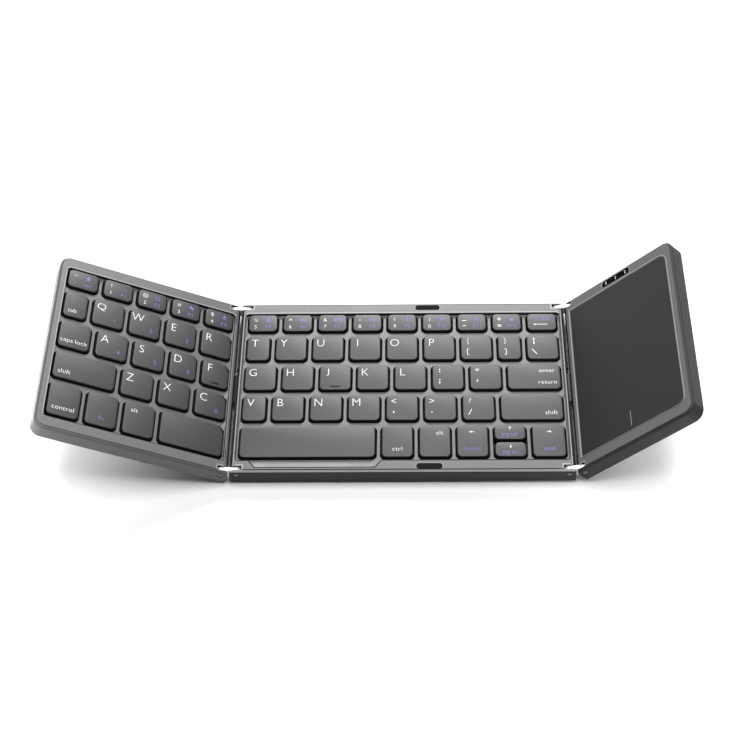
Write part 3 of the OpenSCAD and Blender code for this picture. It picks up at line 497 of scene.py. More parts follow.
@dataclass(frozen=True)
class MouldedPiece:
    """A rigid CAD piece with its upper edges broken, which stands in for its node.

    Attributes:
        node: The CAD node.
        place: The panel that it is part of.
        finishes: The finish of each of its parts. What is left out looks like the body.
        crest: Width of the broken edges above a wall, in millimetres, or 0.
        seam: Width of the line along the inside of the outer chamfer, or 0.
        rails: The least and greatest x between the barrels of the hinge edges, which are darkened
            as painted shade.
        cell: Greatest size of the cells that its faces are cut into.
    """

    node: str
    place: Place
    finishes: Dict[Skin, str]
    crest: float = 0.0
    seam: float = 0.0
    rails: Point = (-200.0, 200.0)
    cell: float = 8.6

    def split(self, bm: BMesh, low: List[float], high: List[float]) -> None:
        """Cuts the faces into cells.

        No hole then lies inside a face, and every bevel keeps its width.

        Args:
            bm: The mesh, in the panel's millimetres.
            low: Its least x and y.
            high: Its greatest x and y.
        """
        for axis in range(2):
            count = math.ceil((high[axis] - low[axis]) / self.cell)
            cuts = [low[axis] + (high[axis] - low[axis]) * i / count for i in range(1, count)]
            cuts += [x for x in self.rails if axis == 0 and low[0] < x < high[0]]
            for cut in cuts:
                spot, across = Vector(), Vector()
                spot[axis], across[axis] = cut, 1
                made = bmesh.ops.bisect_plane(bm, geom=whole(bm), dist=0.001, plane_co=spot,
                                              plane_no=across)
                for edge in made["geom_cut"]:
                    if isinstance(edge, BMEdge):
                        edge.seam = True
        bmesh.ops.dissolve_limit(bm, angle_limit=ONE_FACE, verts=bm.verts, edges=bm.edges,
                                 delimit={"SEAM"})

    def at_bumper(self, edge: BMEdge) -> bool:
        """Whether an edge lies beside one of the two bumpers."""
        left, right = (c[0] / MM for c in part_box("fold_bumpers"))
        return all(left - BUMPER_MARGIN < v.co.x + self.place.origin.x / MM < right + BUMPER_MARGIN
                   and not BUMPER_DEPTH < v.co.y < SIZES.depth - BUMPER_DEPTH for v in edge.verts)

    def break_edges(self, bm: BMesh, width: float, lifts: Point, skin: Skin) -> None:
        """Bevels the convex edges between the topmost level face and a steeper one.

        Args:
            bm: The mesh, in the panel's millimetres.
            width: Width of the bevel.
            lifts: Least and greatest lift of the steeper face.
            skin: What the new faces are.
        """
        top = max(v.co.z for v in bm.verts) - TOP_BAND
        wide, narrow = [], []
        for edge in bm.edges:
            steep = sorted(f.normal.z for f in edge.link_faces)
            level = len(steep) == 2 and steep[1] > LEVEL_LIFT and all(
                v.co.z > top for v in edge.verts)
            if level and lifts[0] < steep[0] < lifts[1]:
                thin = self.place is MIDDLE and skin is Skin.CREST and self.at_bumper(edge)
                (narrow if thin else wide).append(edge)
        for edges, offset in ((narrow, width * BUMPER_SHARE), (wide, width)):
            bmesh.ops.bevel(bm, geom=edges, offset=offset, offset_type="OFFSET", segments=2,
                            profile=0.85, affect="EDGES", clamp_overlap=False, loop_slide=False,
                            material=skin.value)
        bm.normal_update()
        log.info("%s: edges %d and %d", self.node, len(wide), len(narrow))

    def build(self, finishes: Finishes) -> None:
        """Builds the piece from its node's own solid.

        Args:
            finishes: The keyboard's finishes.
        """
        bm = copy_node(self.node, self.place.matrix.inverted(), 0.002)
        bmesh.ops.dissolve_limit(bm, angle_limit=ONE_FACE, verts=bm.verts, edges=bm.edges)
        bmesh.ops.recalc_face_normals(bm, faces=bm.faces)
        low, high = ([f(v.co[i] for v in bm.verts) for i in range(2)] for f in (min, max))
        if self.crest:
            self.split(bm, low, high)
        # Rear-leaning rim chamfers and the inner walls of wells and key holes are marked for
        # painted shade.
        for face in bm.faces:
            middle, (_, lean, lift) = face.calc_center_median(), face.normal
            inside = all(low[i] + OUTER_WALL < middle[i] < high[i] - OUTER_WALL for i in range(2))
            foot = min(v.co.z for v in face.verts)
            if foot > SIZES.rim_height - RIM_SLACK and lift < RIM_LIFT:
                face.material_index = (Skin.SHADE if lean > RIM_LEAN else Skin.RIM).value
            elif abs(lift) < WALL_LIFT and middle.z > WELL_HEIGHT and inside:
                face.material_index = Skin.SHADE.value
        if self.seam:
            self.break_edges(bm, self.seam, CHAMFER_LIFTS, Skin.SEAM)
        if self.crest:
            self.break_edges(bm, self.crest, UPRIGHT_LIFTS, Skin.CREST)
        # Faces of the hinge barrels and rear-leaning crest faces are marked for painted shade too.
        for face in bm.faces:
            middle = face.calc_center_median()
            barrel = (not self.rails[0] < middle.x < self.rails[1]
                      and low[1] + BARREL_ENDS < middle.y < high[1] - BARREL_ENDS)
            crest = face.material_index == Skin.CREST.value
            if barrel or crest and face.normal.y > CREST_LEAN:
                face.material_index = Skin.SHADE.value
        slots = [finishes[self.finishes.get(skin, self.finishes[Skin.BODY])] for skin in Skin]
        piece = finish_piece(bm, f"{self.node}_moulded", self.place, self.place.body, slots,
                             smooth_deg=25)
        piece.modifiers.new("even_faces", "WEIGHTED_NORMAL").keep_sharp = True
        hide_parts(self.node)


# On the frames, seam and shade share one dark finish: the real seam line and painted shade.
BEZEL = {Skin.BODY: "bezel_grey", Skin.CREST: "bezel_edge", Skin.SHADE: "seam_dark",
         Skin.SEAM: "seam_dark"}
# The frames' crests and the middle panel's rim take a painted highlight.
MOULDED = (
    MouldedPiece("middle_base", MIDDLE, {Skin.BODY: "shell_dark"}),
    # The left shell and its seam are painted lighter as light on the left panel.
    MouldedPiece("left_base", LEFT, {Skin.BODY: "shell_left"}),
    MouldedPiece("right_base", RIGHT, {Skin.BODY: "shell_dark"}),
    MouldedPiece("middle_frame", MIDDLE, {**BEZEL, Skin.RIM: "bezel_edge"},
                 crest=0.6, seam=0.25, rails=(-75.4, 75.4)),
    MouldedPiece("left_frame", LEFT, {**BEZEL, Skin.RIM: "bezel_grey", Skin.SEAM: "shell_mid"},
                 crest=0.4, seam=0.2, rails=(-200.0, -1.5)),
    # The right frame's rim is darkened as painted shade.
    MouldedPiece("right_frame", RIGHT, {**BEZEL, Skin.CREST: "pad_rim", Skin.RIM: "shell_rim"},
                 crest=0.28, seam=0.05, rails=(2.2, 200.0)),
    MouldedPiece("touchpad", RIGHT, {Skin.BODY: "touchpad_satin", Skin.CREST: "touchpad_edge",
                                     Skin.SHADE: "touchpad_edge"}, crest=0.3),
)


# Legends

# Gap between the ink and what it lies on
INK_LIFT = 0.012


class Anchor(Enum):
    """What a mark is measured from on a keycap's top, as shares of its width and depth."""

    REAR_LEFT = (0.0, 1.0)
    REAR_MIDDLE = (0.5, 1.0)
    REAR_RIGHT = (1.0, 1.0)
    FRONT_LEFT = (0.0, 0.0)
    FRONT_MIDDLE = (0.5, 0.0)
    FRONT_RIGHT = (1.0, 0.0)


REAR_LEFT, REAR_MIDDLE, REAR_RIGHT, FRONT_LEFT, FRONT_MIDDLE, FRONT_RIGHT = Anchor


class Ink(Enum):
    """The two inks of the legends, by material slot."""

    WHITE = 0
    BLUE = 1


@dataclass(frozen=True)
class Mark:
    """One printed mark on a keycap.

    Attributes:
        glyph: The text, or the name of an icon in ICONS.
        anchor: What its place is measured from.
        offset: From the anchor to the middle of the mark, in millimetres.
        size: Text size, or the icon's height, in millimetres.
        ink: The mark's ink.
    """

    glyph: str
    anchor: Anchor
    offset: Point
    size: float
    ink: Ink = Ink.WHITE


Marks = Tuple[Mark, ...]
Legends = Dict[str, Tuple[Marks, ...]]


class Shape(Enum):
    """Simple shapes that icons are put together from.

    A call of one gives a part of an icon, from its centre, size and turn in degrees. Icons lie in
    a square of unit height round the origin. A wedge points right before it is turned.
    """

    BAR = "bar"
    RING = "ring"
    WEDGE = "wedge"

    def __call__(self, x: float, y: float, wide: float, high: float, turn: float = 0) -> tuple:
        """A part of an icon."""
        return self, x, y, wide, high, turn


bar, ring, wedge = Shape
ICONS: Dict[str, Tuple[tuple, ...]] = {
    "arrow_left": (bar(0.15, 0, 0.9, 0.2), wedge(-0.6, 0, 0.8, 0.95, 180)),
    "arrow_right": (bar(-0.15, 0, 0.9, 0.2), wedge(0.6, 0, 0.8, 0.95)),
    "arrow_up": (bar(0, -0.15, 0.9, 0.2, 90), wedge(0, 0.5, 0.8, 0.95, 90)),
    "arrow_down": (bar(0, 0.15, 0.9, 0.2, 90), wedge(0, -0.5, 0.8, 0.95, 270)),
    "arrow_long": (bar(0.3, 0, 5.2, 0.26), wedge(-2.5, 0, 1.0, 0.9, 180)),
    "+": (bar(0, 0, 0.66, 0.13), bar(0, 0, 0.66, 0.13, 90)),
    "=": (bar(0, 0.13, 0.62, 0.12), bar(0, -0.13, 0.62, 0.12)),
    "-": (bar(0, 0, 0.5, 0.13),),
    "_": (bar(0, -0.3, 0.7, 0.12),),
    "\"": (bar(-0.11, 0.1, 0.1, 0.3), bar(0.11, 0.1, 0.1, 0.3)),
    "'": (bar(0, 0.1, 0.11, 0.3),),
    "|": (bar(0, 0.27, 0.11, 0.42), bar(0, -0.27, 0.11, 0.42)),
    "\\": (bar(0, 0, 0.085, 0.95, 36),),
    "/": (bar(0, 0, 0.075, 0.9, -25),),
    "[": (bar(-0.1, 0, 0.07, 0.95), bar(0, 0.43, 0.25, 0.07), bar(0, -0.43, 0.25, 0.07)),
    "]": (bar(0.1, 0, 0.07, 0.95), bar(0, 0.43, 0.25, 0.07), bar(0, -0.43, 0.25, 0.07)),
    "<": (bar(0, 0.13, 0.6, 0.07, 25), bar(0, -0.13, 0.6, 0.07, -25)),
    ">": (bar(0, 0.13, 0.6, 0.07, -25), bar(0, -0.13, 0.6, 0.07, 25)),
    "^": (bar(-0.12, 0.1, 0.1, 0.42, -35), bar(0.12, 0.1, 0.1, 0.42, 35)),
    "lens": (ring(-0.1, 0.12, 0.75, 0.75), bar(0.3, -0.3, 0.5, 0.14, -45)),
    "sheets": (bar(-0.15, 0.12, 0.5, 0.65), bar(0.25, -0.15, 0.4, 0.6)),
    "frame": (bar(-0.4, 0, 0.12, 0.9), bar(0.4, 0, 0.12, 0.9),
              bar(0, 0.4, 0.8, 0.12), bar(0, -0.4, 0.8, 0.12)),
    "eject": (wedge(0, 0.1, 0.7, 0.9, 90), bar(0, -0.45, 0.9, 0.14)),
    "back": (wedge(-0.35, 0, 0.7, 0.8, 180), wedge(0.35, 0, 0.7, 0.8, 180)),
    "play": (wedge(-0.5, 0, 0.8, 0.85), bar(0.35, 0, 0.18, 0.8), bar(0.75, 0, 0.18, 0.8)),
    "forward": (wedge(-0.35, 0, 0.7, 0.8), wedge(0.35, 0, 0.7, 0.8)),
    "quiet": (bar(-0.35, 0, 0.3, 0.4), wedge(-0.05, 0, 0.6, 0.9, 180)),
    "softer": (bar(-0.55, 0, 0.3, 0.4), wedge(-0.25, 0, 0.6, 0.9, 180), bar(0.4, 0, 0.4, 0.12)),
    "louder": (bar(-0.55, 0, 0.3, 0.4), wedge(-0.25, 0, 0.6, 0.9, 180),
               bar(0.4, 0, 0.5, 0.12), bar(0.4, 0, 0.5, 0.12, 90)),
    "padlock": (bar(0, -0.2, 0.8, 0.55), ring(0, 0.15, 0.5, 0.6)),
    "house": (bar(0, -0.2, 0.6, 0.5), wedge(0, 0.3, 0.5, 1.0, 90)),
}


def letter(text: str) -> Marks:
    """A single large letter at the rear left."""
    return (Mark(text, REAR_LEFT, (3.8, -4.0), 5.8),)


def word(text: str, anchor: Anchor = FRONT_MIDDLE, offset: Point = (0.0, 4.4),
         ink: Ink = Ink.WHITE) -> Mark:
    """A small word."""
    return Mark(text, anchor, offset, 3.3, ink)


def numbered(text: str, number: str, offset: Point = (-4.2, 4.2)) -> Marks:
    """A large letter with a small blue number in front."""
    return letter(text) + (word(number, FRONT_RIGHT, offset, Ink.BLUE),)


def pair(upper: str, lower: str) -> Marks:
    """Two symbols, one behind the other, on a letter key."""
    return (Mark(upper, REAR_LEFT, (3.5, -3.4), 4.0),
            Mark(lower, FRONT_LEFT, (3.5, 4.4), 4.0))


def digits(upper: str, lower: str, icons: str, words: str) -> Tuple[Marks, ...]:
    """Rear-row keys, each with two white marks on the left and two blue ones on the right."""
    return tuple((Mark(a, REAR_LEFT, (3.4, -2.9), 3.0),
                  Mark(b, FRONT_LEFT, (3.4, 2.7), 3.0),
                  Mark(c, REAR_LEFT, (9.4, -2.9), 2.2, Ink.BLUE),
                  Mark(d, FRONT_LEFT, (9.4, 2.7), 2.9, Ink.BLUE))
                 for a, b, c, d in zip(upper, lower, icons.split(), words.split()))


def arrow(icon: str, text: str, rear: float = -3.4, size: float = 1.25,
          front: float = 4.4) -> Marks:
    """An arrow with a small blue word in front."""
    return (Mark(icon, REAR_MIDDLE, (0, rear), size),
            word(text, offset=(0, front), ink=Ink.BLUE))


# The marks of every key in each node, from left to right
LEFT_LEGENDS: Legends = {
    "left_number_keys": digits("~!@#$", "`1234", "house lens frame sheets eject",
                               "esc F1 F2 F3 F4"),
    "tab_key": ((word("tab", FRONT_LEFT, (4.2, 3.6)),),),
    "qwer_keys": (numbered("Q", "1"), numbered("W", "2"), numbered("E", "3"), letter("R")),
    "caps_lock_key": ((word("caps lock", offset=(0.0, 3.5)),),),
    "asdf_keys": (
        numbered("A", "4"), numbered("S", "5"), numbered("D", "6", (-3.8, 4.2)), letter("F")),
    "left_shift_key": ((word("shift", FRONT_LEFT, (5.2, 3.8)),),),
    "zxc_keys": (*map(letter, "ZX"), numbered("C", "0", (-4.6, 4.0))),
    "left_modifier_keys": ((word("control"),), (word("fn", ink=Ink.BLUE),),
                           (word("alt", REAR_LEFT, (4.6, -3.8)),)),
    "left_space_key": ((),),
}
MIDDLE_LEGENDS: Legends = {
    "right_number_keys": digits(
        "%^&*()_+", "567890-=", "eject back play forward quiet softer louder padlock",
        "F5 F6 F7 F8 F9 F10 F11 F12"),
    "backspace_key": ((Mark("arrow_long", FRONT_LEFT, (6.4, 3.4), 1.1),
                       word("del", REAR_RIGHT, (-5.2, -2.6), Ink.BLUE)),),
    "tyuiop_keys": tuple(map(letter, "TYUIOP")),
    "bracket_keys": (pair("{", "["), pair("}", "]"), pair("|", "\\")),
    "ghjkl_keys": tuple(map(letter, "GHJKL")),
    "quote_keys": (pair(":", ";"), pair("\"", "'")),
    "enter_key": ((word("enter", REAR_RIGHT, (-6.2, -3.4)),
                   word("return", FRONT_RIGHT, (-6.2, 4.0))),),
    "vbnm_keys": tuple(map(letter, "VBNM")),
    "comma_keys": (pair("<", ","), pair(">", "."), pair("?", "/")),
    "right_shift_key": ((word("shift", FRONT_RIGHT, (-5.4, 4.0)),),),
    "right_space_key": ((),),
    "right_modifier_keys": ((word("ctrl"),), (word("alt", REAR_RIGHT, (-4.9, -3.8)),)),
    "left_arrow_key": (arrow("arrow_left", "home"),),
    "up_arrow_key": (arrow("arrow_up", "pg up", -1.6, 1.1, 2.3),),
    "down_arrow_key": (arrow("arrow_down", "pg dn", -1.8, 1.1, 2.2),),
    "right_arrow_key": (arrow("arrow_right", "end"),),
}


@dataclass
class Printer:
    """Prints legends as thin flat shapes just above a keycap.

    Attributes:
        line: Width of an icon's ring, as a share of its size.
        thin: How far the outline of a large letter is drawn in, as a share of its size.
        word: Share of that for the outline of any other text.
        bold: How far the outline of a point or comma is drawn out, as a share of its size.
        capital: Height of a capital letter, as a share of its size.
        space: Spacing of letters and of words, as shares of the font's own.
    """

    line: float = 0.16
    thin: float = -0.019
    word: float = 0.75
    bold: float = 0.02
    capital: float = 0.71
    space: Point = (1.04, 0.6)
    glyphs: Dict[str, Mesh] = field(default_factory=dict)

    def text_mesh(self, text: str) -> Mesh:
        """A flat mesh of a text of size 1, centred on its own middle. Each text is made once."""
        if text not in self.glyphs:
            curve = bpy.data.curves.new("legend", "FONT")
            curve.body = text
            curve.resolution_u = 3
            curve.space_character, curve.space_word = self.space
            share = 1.0 if len(text) == 1 and text.isalpha() else self.word
            curve.offset = self.bold if text in ":;.," else self.thin * share
            holder = add_object("legend", curve)
            bpy.context.view_layer.update()
            ready = holder.evaluated_get(bpy.context.evaluated_depsgraph_get())
            mesh = bpy.data.meshes.new_from_object(ready)
            bpy.data.objects.remove(holder)
            xs, ys = ([v.co[i] for v in mesh.vertices] for i in range(2))
            capital = len(text) == 1 and text.isupper()
            own = capital or not text.isalnum()
            middle_y = (min(ys) + max(ys)) / 2 if own else self.capital / 2
            mesh.transform(Matrix.Translation((-(min(xs) + max(xs)) / 2, -middle_y, 0)))
            if capital:
                mesh.transform(Matrix.Diagonal((1, self.capital / (max(ys) - min(ys)), 1, 1)))
            self.glyphs[text] = mesh
        return self.glyphs[text]

    def add_icon(self, bm: BMesh, parts: Tuple[tuple, ...], at: Matrix) -> None:
        """Adds an icon's shapes.

        Args:
            bm: The mesh to add to.
            parts: The icon's shapes.
            at: Where the icon's unit square goes.
        """
        for shape, x, y, wide, high, turn in parts:
            here = at @ Matrix.Translation((x, y, 0)) @ Matrix.Rotation(math.radians(turn), 4, "Z")
            sized = here @ Matrix.Diagonal((wide, high, 1, 1))
            if shape is Shape.BAR:
                bmesh.ops.create_grid(bm, x_segments=1, y_segments=1, size=0.5, matrix=sized)
            elif shape is Shape.WEDGE:
                # A circle of three segments is 3/2 by the root of 3 and points along y.
                reach = sized @ Matrix.Diagonal((2 / 3, 1 / math.sqrt(3), 1, 1))
                tip = reach @ Matrix.Rotation(math.radians(-90), 4, "Z")
                bmesh.ops.create_circle(bm, cap_ends=True, segments=3, radius=1, matrix=tip)
            else:
                made = bmesh.ops.create_circle(bm, cap_ends=True, segments=20, radius=0.5,
                                               matrix=sized)
                face = made["verts"][0].link_faces[0]
                width = self.line * wide * at.median_scale
                bmesh.ops.inset_region(bm, faces=[face], thickness=width, use_even_offset=True)
                bmesh.ops.delete(bm, geom=[face], context="FACES_ONLY")

    def add_mark(self, bm: BMesh, mark: Mark, spot: Vector) -> None:
        """Adds one mark to a mesh.

        Args:
            bm: The mesh to add to.
            mark: What to print.
            spot: The middle of the mark, in the panel's millimetres.
        """
        before = set(bm.faces)
        at = Matrix.Translation(spot) @ Matrix.Scale(mark.size, 4)
        if mark.glyph in ICONS:
            self.add_icon(bm, ICONS[mark.glyph], at)
        else:
            mesh = self.text_mesh(mark.glyph).copy()
            mesh.transform(at)
            bm.from_mesh(mesh)
            bpy.data.meshes.remove(mesh)
        for face in set(bm.faces) - before:
            face.material_index = mark.ink.value
            face.smooth = False
            if face.normal.z < 0:
                face.normal_flip()


# Keycaps


@dataclass(frozen=True)
class KeyCell:
    """One key's outline at its foot and its two heights, in a panel's millimetres."""

    left: float
    right: float
    front: float
    rear: float
    foot: float
    top: float


@dataclass
class KeyField:
    """The keycaps and legends of one panel.

    Attributes:
        place: The panel's place.
        legends: The marks of its keys, for every CAD node that holds keys.
        cut_from: Keys whose right edge passes this x have their rear right corner cut.
        draft: How far in a cap's shoulder lies on either side, in front and at the rear.
        corner: Corner radius of a cap at its foot.
        soft: Radius of the edge round a cap's top.
        cut: Leg of the cut corner.
        least_depth: Keys shallower than this keep their corner.
        edge: From a cap's foot to the line that its marks are measured from.
        wall: Thickness of a cap's skirt at its foot.
        roof: Thickness of a cap's top.
        post: Radius of the post under a cap, and the height of its lower end.
    """

    place: Place
    legends: Legends
    cut_from: float = math.inf
    draft: Triple = (0.65, 0.4, 0.1)
    corner: float = 2.2
    soft: float = 0.32
    cut: float = 3.2
    least_depth: float = 12.0
    edge: float = 0.35
    wall: float = 1.3
    roof: float = 1.0
    post: Point = (1.2, 5.45)

    def cells(self, node: str) -> List[KeyCell]:
        """Reads the outlines of a node's keys from its solids.

        Args:
            node: The CAD node.

        Returns:
            One cell for each key, from left to right.
        """
        bm = copy_node(node, self.place.matrix.inverted(), 0.001)
        found, left = [], set(bm.verts)
        while left:
            edge = [left.pop()]
            island = set(edge)
            while edge:
                vert = edge.pop()
                near = {e.other_vert(vert) for e in vert.link_edges} - island
                island |= near
                edge.extend(near)
            left -= island
            xs, ys, zs = ([v.co[i] for v in island] for i in range(3))
            if min(max(xs) - min(xs), max(ys) - min(ys)) > 2 * self.corner:
                found.append(KeyCell(min(xs), max(xs), min(ys), max(ys), min(zs), max(zs)))
        bm.free()
        return sorted(found, key=lambda c: c.left)

    def add_cap(self, bm: BMesh, cell: KeyCell, top: float) -> None:
        """Adds one keycap: drafted skirt, soft shoulder, flat top, and a hollow with a post.

        Args:
            bm: The mesh to add to.
            cell: The key's outline.
            top: Height of the cap's top.
        """
        cap = bmesh.new()
        width, depth = cell.right - cell.left, cell.rear - cell.front
        middle = ((cell.left + cell.right) / 2, (cell.front + cell.rear) / 2)
        beside_hinge = cell.right > self.cut_from and depth > self.least_depth
        face = plate(cap, width, depth, middle, cell.foot, self.corner,
                     self.cut if beside_hinge else 0)
        upper = raise_face(cap, face, top - cell.foot, self.draft)
        under = min(cap.faces, key=lambda f: f.calc_center_median().z)
        bmesh.ops.inset_region(cap, faces=[under], thickness=self.wall, use_even_offset=True)
        raise_face(cap, under, top - self.roof - cell.foot)
        # Every face but the top takes the skirt's finish, which is painted shade.
        for side in cap.faces:
            side.material_index = int(side is not upper)
        soften(cap, upper, self.soft, 4, material=0)
        radius, low = self.post
        height = top - self.roof - low
        bmesh.ops.create_cone(cap, cap_ends=True, segments=16, radius1=radius, radius2=radius,
                              depth=height, matrix=Matrix.Translation((*middle, low + height / 2)))
        bmesh.ops.recalc_face_normals(cap, faces=cap.faces)
        mesh = to_mesh(cap, "cap")
        bm.from_mesh(mesh)
        bpy.data.meshes.remove(mesh)

    def build(self, finishes: Finishes, printer: Printer) -> None:
        """Builds every keycap and legend of the panel.

        Args:
            finishes: The keyboard's finishes.
            printer: What prints the legends.
        """
        for node, legends in self.legends.items():
            cells = self.cells(node)
            top = min(c.top for c in cells)
            caps, ink = bmesh.new(), bmesh.new()
            for cell, marks in zip(cells, legends):
                self.add_cap(caps, cell, top)
                for mark in marks:
                    across, along = mark.anchor.value
                    x = cell.left + self.edge + across * (cell.right - cell.left - 2 * self.edge)
                    y = cell.front + self.edge + along * (cell.rear - cell.front - 2 * self.edge)
                    right, back = mark.offset
                    printer.add_mark(ink, mark, Vector((x + right, y + back, top + INK_LIFT)))
            piece = finish_piece(caps, f"{node}_caps", self.place, node,
                                 (finishes["key_top"], finishes["key_skirt"]))
            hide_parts(node)
            if len(ink.faces):
                finish_piece(ink, f"{node}_legends", self.place, node,
                             (finishes["legend_white"], finishes["legend_blue"]))
            log.info("%s: %d caps", node, len(cells))


@dataclass
class HomingBars:
    """The raised bars on the F and J keycaps, which reach a little into the caps."""

    width: float = 4.4
    depth: float = 0.5
    corner: float = 0.245
    soft: float = 0.1
    rise: float = 0.22
    sunk: float = 0.05
    from_front: float = 1.95

    def build(self, bars: Sequence[Tuple[KeyField, str, int]], finish: Material) -> None:
        """Adds a bar to each key given as (field, node, number from the left)."""
        for keys, node, number in bars:
            cells = keys.cells(node)
            cell, top = cells[number], min(c.top for c in cells)
            middle = ((cell.left + cell.right) / 2, cell.front + self.from_front + self.depth / 2)
            bm = bmesh.new()
            face = plate(bm, self.width, self.depth, middle, top - self.sunk, self.corner, steps=4)
            soften(bm, raise_face(bm, face, self.rise + self.sunk), self.soft, 2)
            bmesh.ops.recalc_face_normals(bm, faces=bm.faces)
            finish_piece(bm, f"{node}_homing_bar", keys.place, node, (finish,))


# Trim


@dataclass
class TouchpadTrim:
    """The short line on the touchpad and the marks in the indicator window.

    Attributes:
        line_x: Where the line and the middle mark stand.
        line_reach: The line's front and rear ends.
        line_width: Width of the line.
        line_corner: Its corner radius.
        window_y: Middle of the marks.
        mark_pitch: From mark to mark.
        dot: Each mark's dot: its radius and where it lies along the panel from the middle.
        dash: Each mark's dash: its width, depth, corner radius and where it lies.
    """

    line_x: float = 32.6
    line_reach: Point = (8.6, 16.5)
    line_width: float = 0.28
    line_corner: float = 0.126
    window_y: float = 94.8
    mark_pitch: float = 5.65
    dot: Point = (0.3, -0.55)
    dash: Tuple[float, float, float, float] = (0.9, 0.3, 0.13, 0.45)

    def height_over(self, node: str) -> float:
        """Height of ink on top of a node of the right panel."""
        inverse = RIGHT.matrix.inverted()
        return max((inverse @ v.co).z for v in frame["nodes"][node].data.vertices) + INK_LIFT

    def build(self, finishes: Finishes) -> None:
        """Builds the line and the marks."""
        bm = bmesh.new()
        front, rear = self.line_reach
        plate(bm, self.line_width, rear - front, (self.line_x, (front + rear) / 2),
              self.height_over("touchpad"), self.line_corner, steps=3)
        finish_piece(bm, "touchpad_line", RIGHT, "right_panel", (finishes["pad_line"],))
        bm = bmesh.new()
        height = self.height_over("indicator_window")
        radius, back = self.dot
        width, depth, corner, forward = self.dash
        for number in (-1, 0, 1):
            x = self.line_x + number * self.mark_pitch
            at = Matrix.Translation((x, self.window_y + back, height))
            bmesh.ops.create_circle(bm, cap_ends=True, segments=16, radius=radius, matrix=at)
            plate(bm, width, depth, (x, self.window_y + forward), height, corner, steps=3)
        finish_piece(bm, "indicator_marks", RIGHT, "right_panel", (finishes["legend_white"],))


@dataclass
class Ribbon:
    """A flexible ribbon, cut into two strips at the middle of a link.

    Attributes:
        side: Either left or right.
        steps: Cuts along each strip.
    """

    side: str
    steps: int = 8

    def build(self, finish: Material) -> None:
        """Cuts the CAD ribbon at the middle of the link and cuts each half into strips."""
        node, carrier = f"{self.side}_ribbon", f"{self.side}_link"
        first, last = (Vector(joint(f"{self.side}_{part}_fold")["pos_m"])
                       for part in ("link", "panel"))
        halfway = (first + last) / 2
        along = (last - first).normalized()
        for name, sign, bodies, reach in (
                (f"{node}_inner", 1, ("middle_panel", carrier), (first, halfway)),
                (f"{node}_outer", -1, (carrier, f"{self.side}_panel"), (halfway, last))):
            bm = copy_node(node, Matrix(), 1e-6)
            bmesh.ops.bisect_plane(bm, geom=whole(bm), dist=1e-7, plane_co=halfway,
                                   plane_no=along * sign, clear_outer=True)
            bmesh.ops.holes_fill(bm, edges=bm.edges, sides=0)
            for step in range(1, self.steps):
                at = reach[0].lerp(reach[1], step / self.steps)
                bmesh.ops.bisect_plane(bm, geom=whole(bm), dist=1e-7, plane_co=at, plane_no=along)
            bmesh.ops.recalc_face_normals(bm, faces=bm.faces)
            mesh = to_mesh(bm, name)
            mesh.materials.append(finish)
            strip = add_object(name, mesh)
            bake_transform(strip)
            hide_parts(node)


# Stage


@dataclass(frozen=True)
class Softbox:
    """A soft rectangular light.

    Attributes:
        name: The light's name.
        place: Where it stands, in metres from the centre of the stage.
        target: What it points at, measured in the same way.
        size: Its width and height in metres.
        power: Its power in watts.
        spread: Angle that its rays stay within, in degrees.
    """

    name: str
    place: Triple
    target: Triple
    size: Point
    power: float
    spread: float = 180

    def add(self, centre: Vector) -> None:
        """Adds the light.

        Args:
            centre: The centre of the stage.
        """
        place, target = centre + Vector(self.place), centre + Vector(self.target)
        data = bpy.data.lights.new(self.name, "AREA")
        data.shape, data.energy, data.spread = "RECTANGLE", self.power, math.radians(self.spread)
        data.size, data.size_y = self.size
        light = add_object(self.name, data)
        light.location = place
        light.rotation_euler = (target - place).to_track_quat("-Z", "Y").to_euler()


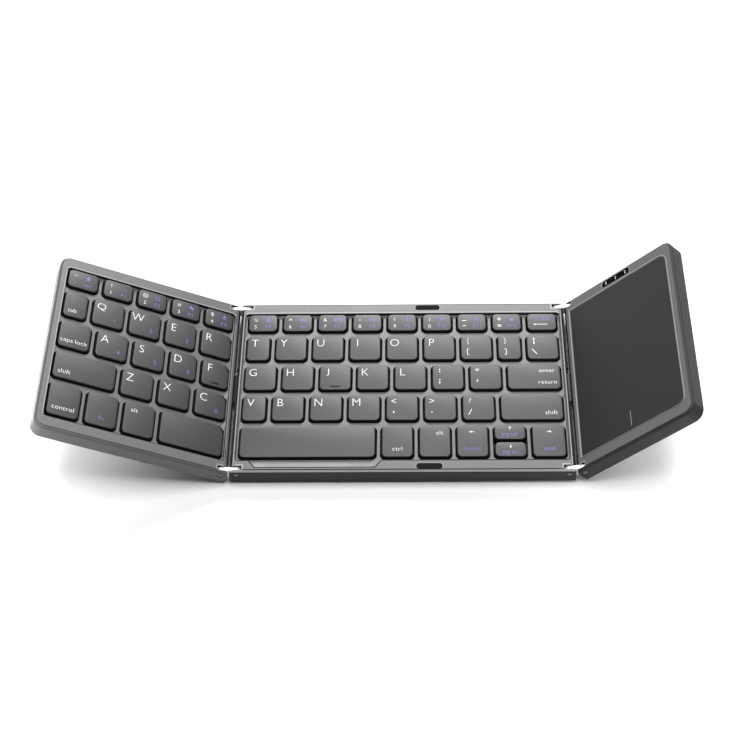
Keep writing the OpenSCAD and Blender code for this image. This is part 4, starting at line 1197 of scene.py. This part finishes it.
@dataclass
class Studio:
    """Floor, lights, surroundings and camera.

    Attributes:
        camera_turn: The camera's pitch, roll and yaw off a view straight down, in degrees.
        camera_shift: The view's offset from the centre of the stage, in millimetres.
        camera_distance: From the camera to the desk along its axis, in millimetres.
        camera_range: The nearest and farthest that it sees, in metres.
        focal_px: Focal length in pixels of the photograph.
        image_px: Width of the photograph in pixels.
        sensor_mm: Width of the camera's sensor.
        world_light: Strength of the light from all round.
        floor_reach: From the middle of the floor to its edges, in metres.
        floor_tone: Brightness of the floor's white.
        lights: The soft lights.
    """

    camera_turn: Triple = (-38.698, -1.286, 0.273)
    camera_shift: Point = (12.714, -9.104)
    camera_distance: float = 749.19
    camera_range: Point = (0.01, 20)
    focal_px: float = 1615.09
    image_px: float = 750.0
    sensor_mm: float = 36.0
    world_light: float = 0.13
    floor_reach: float = 3.0
    floor_tone: float = 0.93
    lights: Tuple[Softbox, ...] = (
        Softbox("top_softbox", (0, 0.1, 1.8), (0, 0, 0), (1.3, 1.2), 33),
        Softbox("rear_softbox", (0, 0.80, 0.62), (0, 0, 0), (0.5, 0.3), 9),
        Softbox("left_softbox", (-0.27, -0.17, 0.10), (-0.205, -0.03, 0), (0.10, 0.08), 0.082, 40),
        Softbox("right_softbox", (0.26, -0.14, 0.14), (0.17, -0.04, 0), (0.10, 0.08), 0.056, 44),
    )

    def add_camera(self, centre: Vector) -> None:
        """Adds the camera of the photograph, aimed by the centre of the stage."""
        data = bpy.data.cameras.new("camera")
        data.sensor_width = self.sensor_mm
        data.lens = self.focal_px / self.image_px * self.sensor_mm
        data.clip_start, data.clip_end = self.camera_range
        camera = add_object("camera", data)
        turn = Euler([math.radians(a) for a in self.camera_turn], "XYZ").to_matrix().transposed()
        offset = Vector((*self.camera_shift, -self.camera_distance)) * MM
        camera.matrix_world = Matrix.Translation(centre - turn @ offset) @ turn.to_4x4()
        bpy.context.scene.camera = camera

    def add_floor(self) -> None:
        """Adds the white floor."""
        bm = bmesh.new()
        bmesh.ops.create_grid(bm, x_segments=1, y_segments=1, size=self.floor_reach)
        material = bpy.data.materials.new("floor_white")
        material.use_nodes = True
        surface = material.node_tree.nodes["Principled BSDF"].inputs
        surface["Base Color"].default_value = (*[self.floor_tone] * 3, 1)
        surface["Roughness"].default_value = 0.9
        surface["Specular IOR Level"].default_value = 0.1
        floor = add_object("floor", to_mesh(bm, "floor"))
        floor.data.materials.append(material)

    def build(self) -> None:
        """Sets up the whole stage, with its centre in the middle of the middle panel."""
        scene = bpy.context.scene
        scene.view_settings.view_transform = "Standard"
        scene.world = bpy.data.worlds.new("studio")
        scene.world.use_nodes = True
        back = scene.world.node_tree.nodes["Background"].inputs
        back["Color"].default_value = (1, 1, 1, 1)
        back["Strength"].default_value = self.world_light
        centre = MIDDLE.matrix @ Vector((0, SIZES.depth / 2, 0))
        self.add_floor()
        self.add_camera(centre)
        for light in self.lights:
            light.add(centre)


def main() -> None:
    """Builds the looks in order."""
    logging.basicConfig(level=logging.INFO, format="%(message)s")
    finishes = make_finishes()
    dress_cad_nodes(finishes)
    for piece in MOULDED:
        piece.build(finishes)
    printer = Printer()
    left_keys = KeyField(LEFT, LEFT_LEGENDS, cut_from=-5.0)
    middle_keys = KeyField(MIDDLE, MIDDLE_LEGENDS)
    for keys in (left_keys, middle_keys):
        keys.build(finishes, printer)
    # The homing bars take the skirt's painted-shade finish, standing for each bar and its shadow.
    HomingBars().build(((left_keys, "asdf_keys", 3), (middle_keys, "ghjkl_keys", 2)),
                       finishes["key_skirt"])
    TouchpadTrim().build(finishes)
    for side in ("left", "right"):
        Ribbon(side).build(finishes["ribbon_film"])
        log.info("%s ribbon", side)
    Studio().build()


if __name__ == "__main__":
    main()
